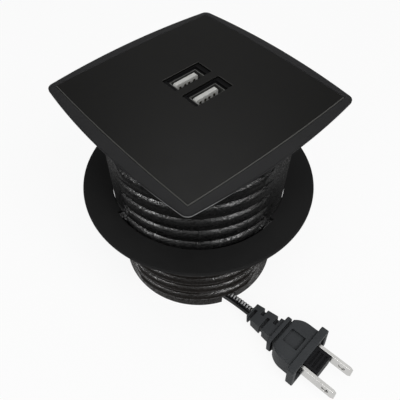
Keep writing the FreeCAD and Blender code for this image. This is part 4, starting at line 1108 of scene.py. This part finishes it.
@dataclass(frozen=True)
class Studio:
    """White floor, plain world and soft lamps. Lengths are in metres.

    Attributes:
        lamps: the lamps.
        aim: the point that they are turned to.
        sky: colour of the world's light.
        sky_light: strength of the world's light.
        floor_half: half of the floor's side.
        floor_paint: the floor's colour where it isn't seen as white.
        floor_glow: how much of the seen floor is plain white.
    """

    lamps: Sequence[SoftBox] = (
        SoftBox("fill_left", azimuth=-80.0, elevation=35.0, power=1.8),
        SoftBox("fill_right", azimuth=0.0, elevation=45.0, power=4.5),
        SoftBox("fill_top", azimuth=-42.0, elevation=84.0, power=3.0),
        SoftBox(
            "gleam_left",
            azimuth=-107.0,
            elevation=48.0,
            power=84.0,
            width=0.15,
            height=0.6,
            shines_on=THREADS,
        ),
        SoftBox(
            "gleam_right",
            azimuth=-4.0,
            elevation=48.0,
            power=94.0,
            width=0.15,
            height=0.6,
            shines_on=THREADS,
        ),
        SoftBox(
            "panel_glow",
            azimuth=138.0,
            elevation=62.0,
            power=36.0,
            distance=1.2,
            width=0.4,
            height=0.4,
            shines_on=PLATE,
        ),
    )
    aim: Tuple[float, float, float] = (0.0, 0.0, 0.06)
    sky: Colour = (0.96, 0.98, 1.0)
    sky_light: float = 0.2
    floor_half: float = 3.0
    floor_paint: Colour = (0.85, 0.85, 0.85)
    floor_glow: float = 0.9

    def build(self) -> None:
        """Makes the world, the floor and the lamps."""
        self._world()
        self._floor()
        for lamp in self.lamps:
            lamp.build(Vector(self.aim))
        bpy.context.scene.view_settings.view_transform = "Standard"
        LOG.info("Studio: %d lamps", len(self.lamps))

    @staticmethod
    def _seen(wiring: Wiring) -> Socket:
        """Finds the rays from the eye, also mirrored or bent ones.

        Args:
            wiring: the nodes of the material or world.

        Returns:
            The output with 1 for those rays and 0 for the light's own.
        """
        path = wiring.node("LightPath")
        seen = path.outputs["Is Camera Ray"]
        for name in ("Is Glossy Ray", "Is Transmission Ray"):
            seen = wiring.arithmetic("MAXIMUM", seen, path.outputs[name])
        return seen

    def _world(self) -> None:
        """Sets a plain world: white to the eye, soft grey as a light."""
        world = bpy.data.worlds.new("studio_world")
        bpy.context.scene.world = world
        world.use_nodes = True
        wiring = Wiring(world.node_tree)
        shown = world.node_tree.nodes["Background"]
        shown.inputs["Color"].default_value = (1, 1, 1, 1)
        shown.inputs["Strength"].default_value = 1.0
        light = wiring.node("Background")
        light.inputs["Color"].default_value = (*self.sky, 1)
        light.inputs["Strength"].default_value = self.sky_light
        mixed = wiring.between(self._seen(wiring), light.outputs[0], shown.outputs[0])
        wiring.feed(world.node_tree.nodes["World Output"].inputs["Surface"], mixed)

    def _floor(self) -> None:
        """Makes the white floor, which keeps a pale shadow."""
        half = self.floor_half
        mesh = bpy.data.meshes.new("floor")
        corners = [(-half, -half, 0), (half, -half, 0), (half, half, 0), (-half, half, 0)]
        mesh.from_pydata(corners, [], [(0, 1, 2, 3)])
        floor = bpy.data.objects.new("floor", mesh)
        bpy.context.scene.collection.objects.link(floor)
        material = bpy.data.materials.new("floor_white")
        material.use_nodes = True
        nodes = material.node_tree.nodes
        nodes.remove(nodes["Principled BSDF"])
        wiring = Wiring(material.node_tree)
        paper = wiring.node("BsdfDiffuse")
        paper.inputs["Color"].default_value = (*self.floor_paint, 1)
        glow = wiring.node("Emission")
        glow.inputs["Strength"].default_value = 1.0
        share = wiring.arithmetic("MULTIPLY", self._seen(wiring), self.floor_glow)
        mixed = wiring.between(share, paper.outputs[0], glow.outputs[0])
        wiring.feed(nodes["Material Output"].inputs["Surface"], mixed)
        mesh.materials.append(material)


# -------------------------------------------------------------------- main


def main() -> None:
    """Builds the whole scene."""
    logging.basicConfig(level=logging.INFO, format="%(message)s")
    painter = Painter()
    PhotoCamera().build()
    MainsCord().build(painter)
    for assembly in (
        TopPlate(),
        UsbSockets(),
        PowerBoard(),
        ThreadedBarrel(),
        TableClamp(),
        MainsPlug(),
    ):
        assembly.build(painter)
    Studio().build()


if __name__ == "__main__":
    main()
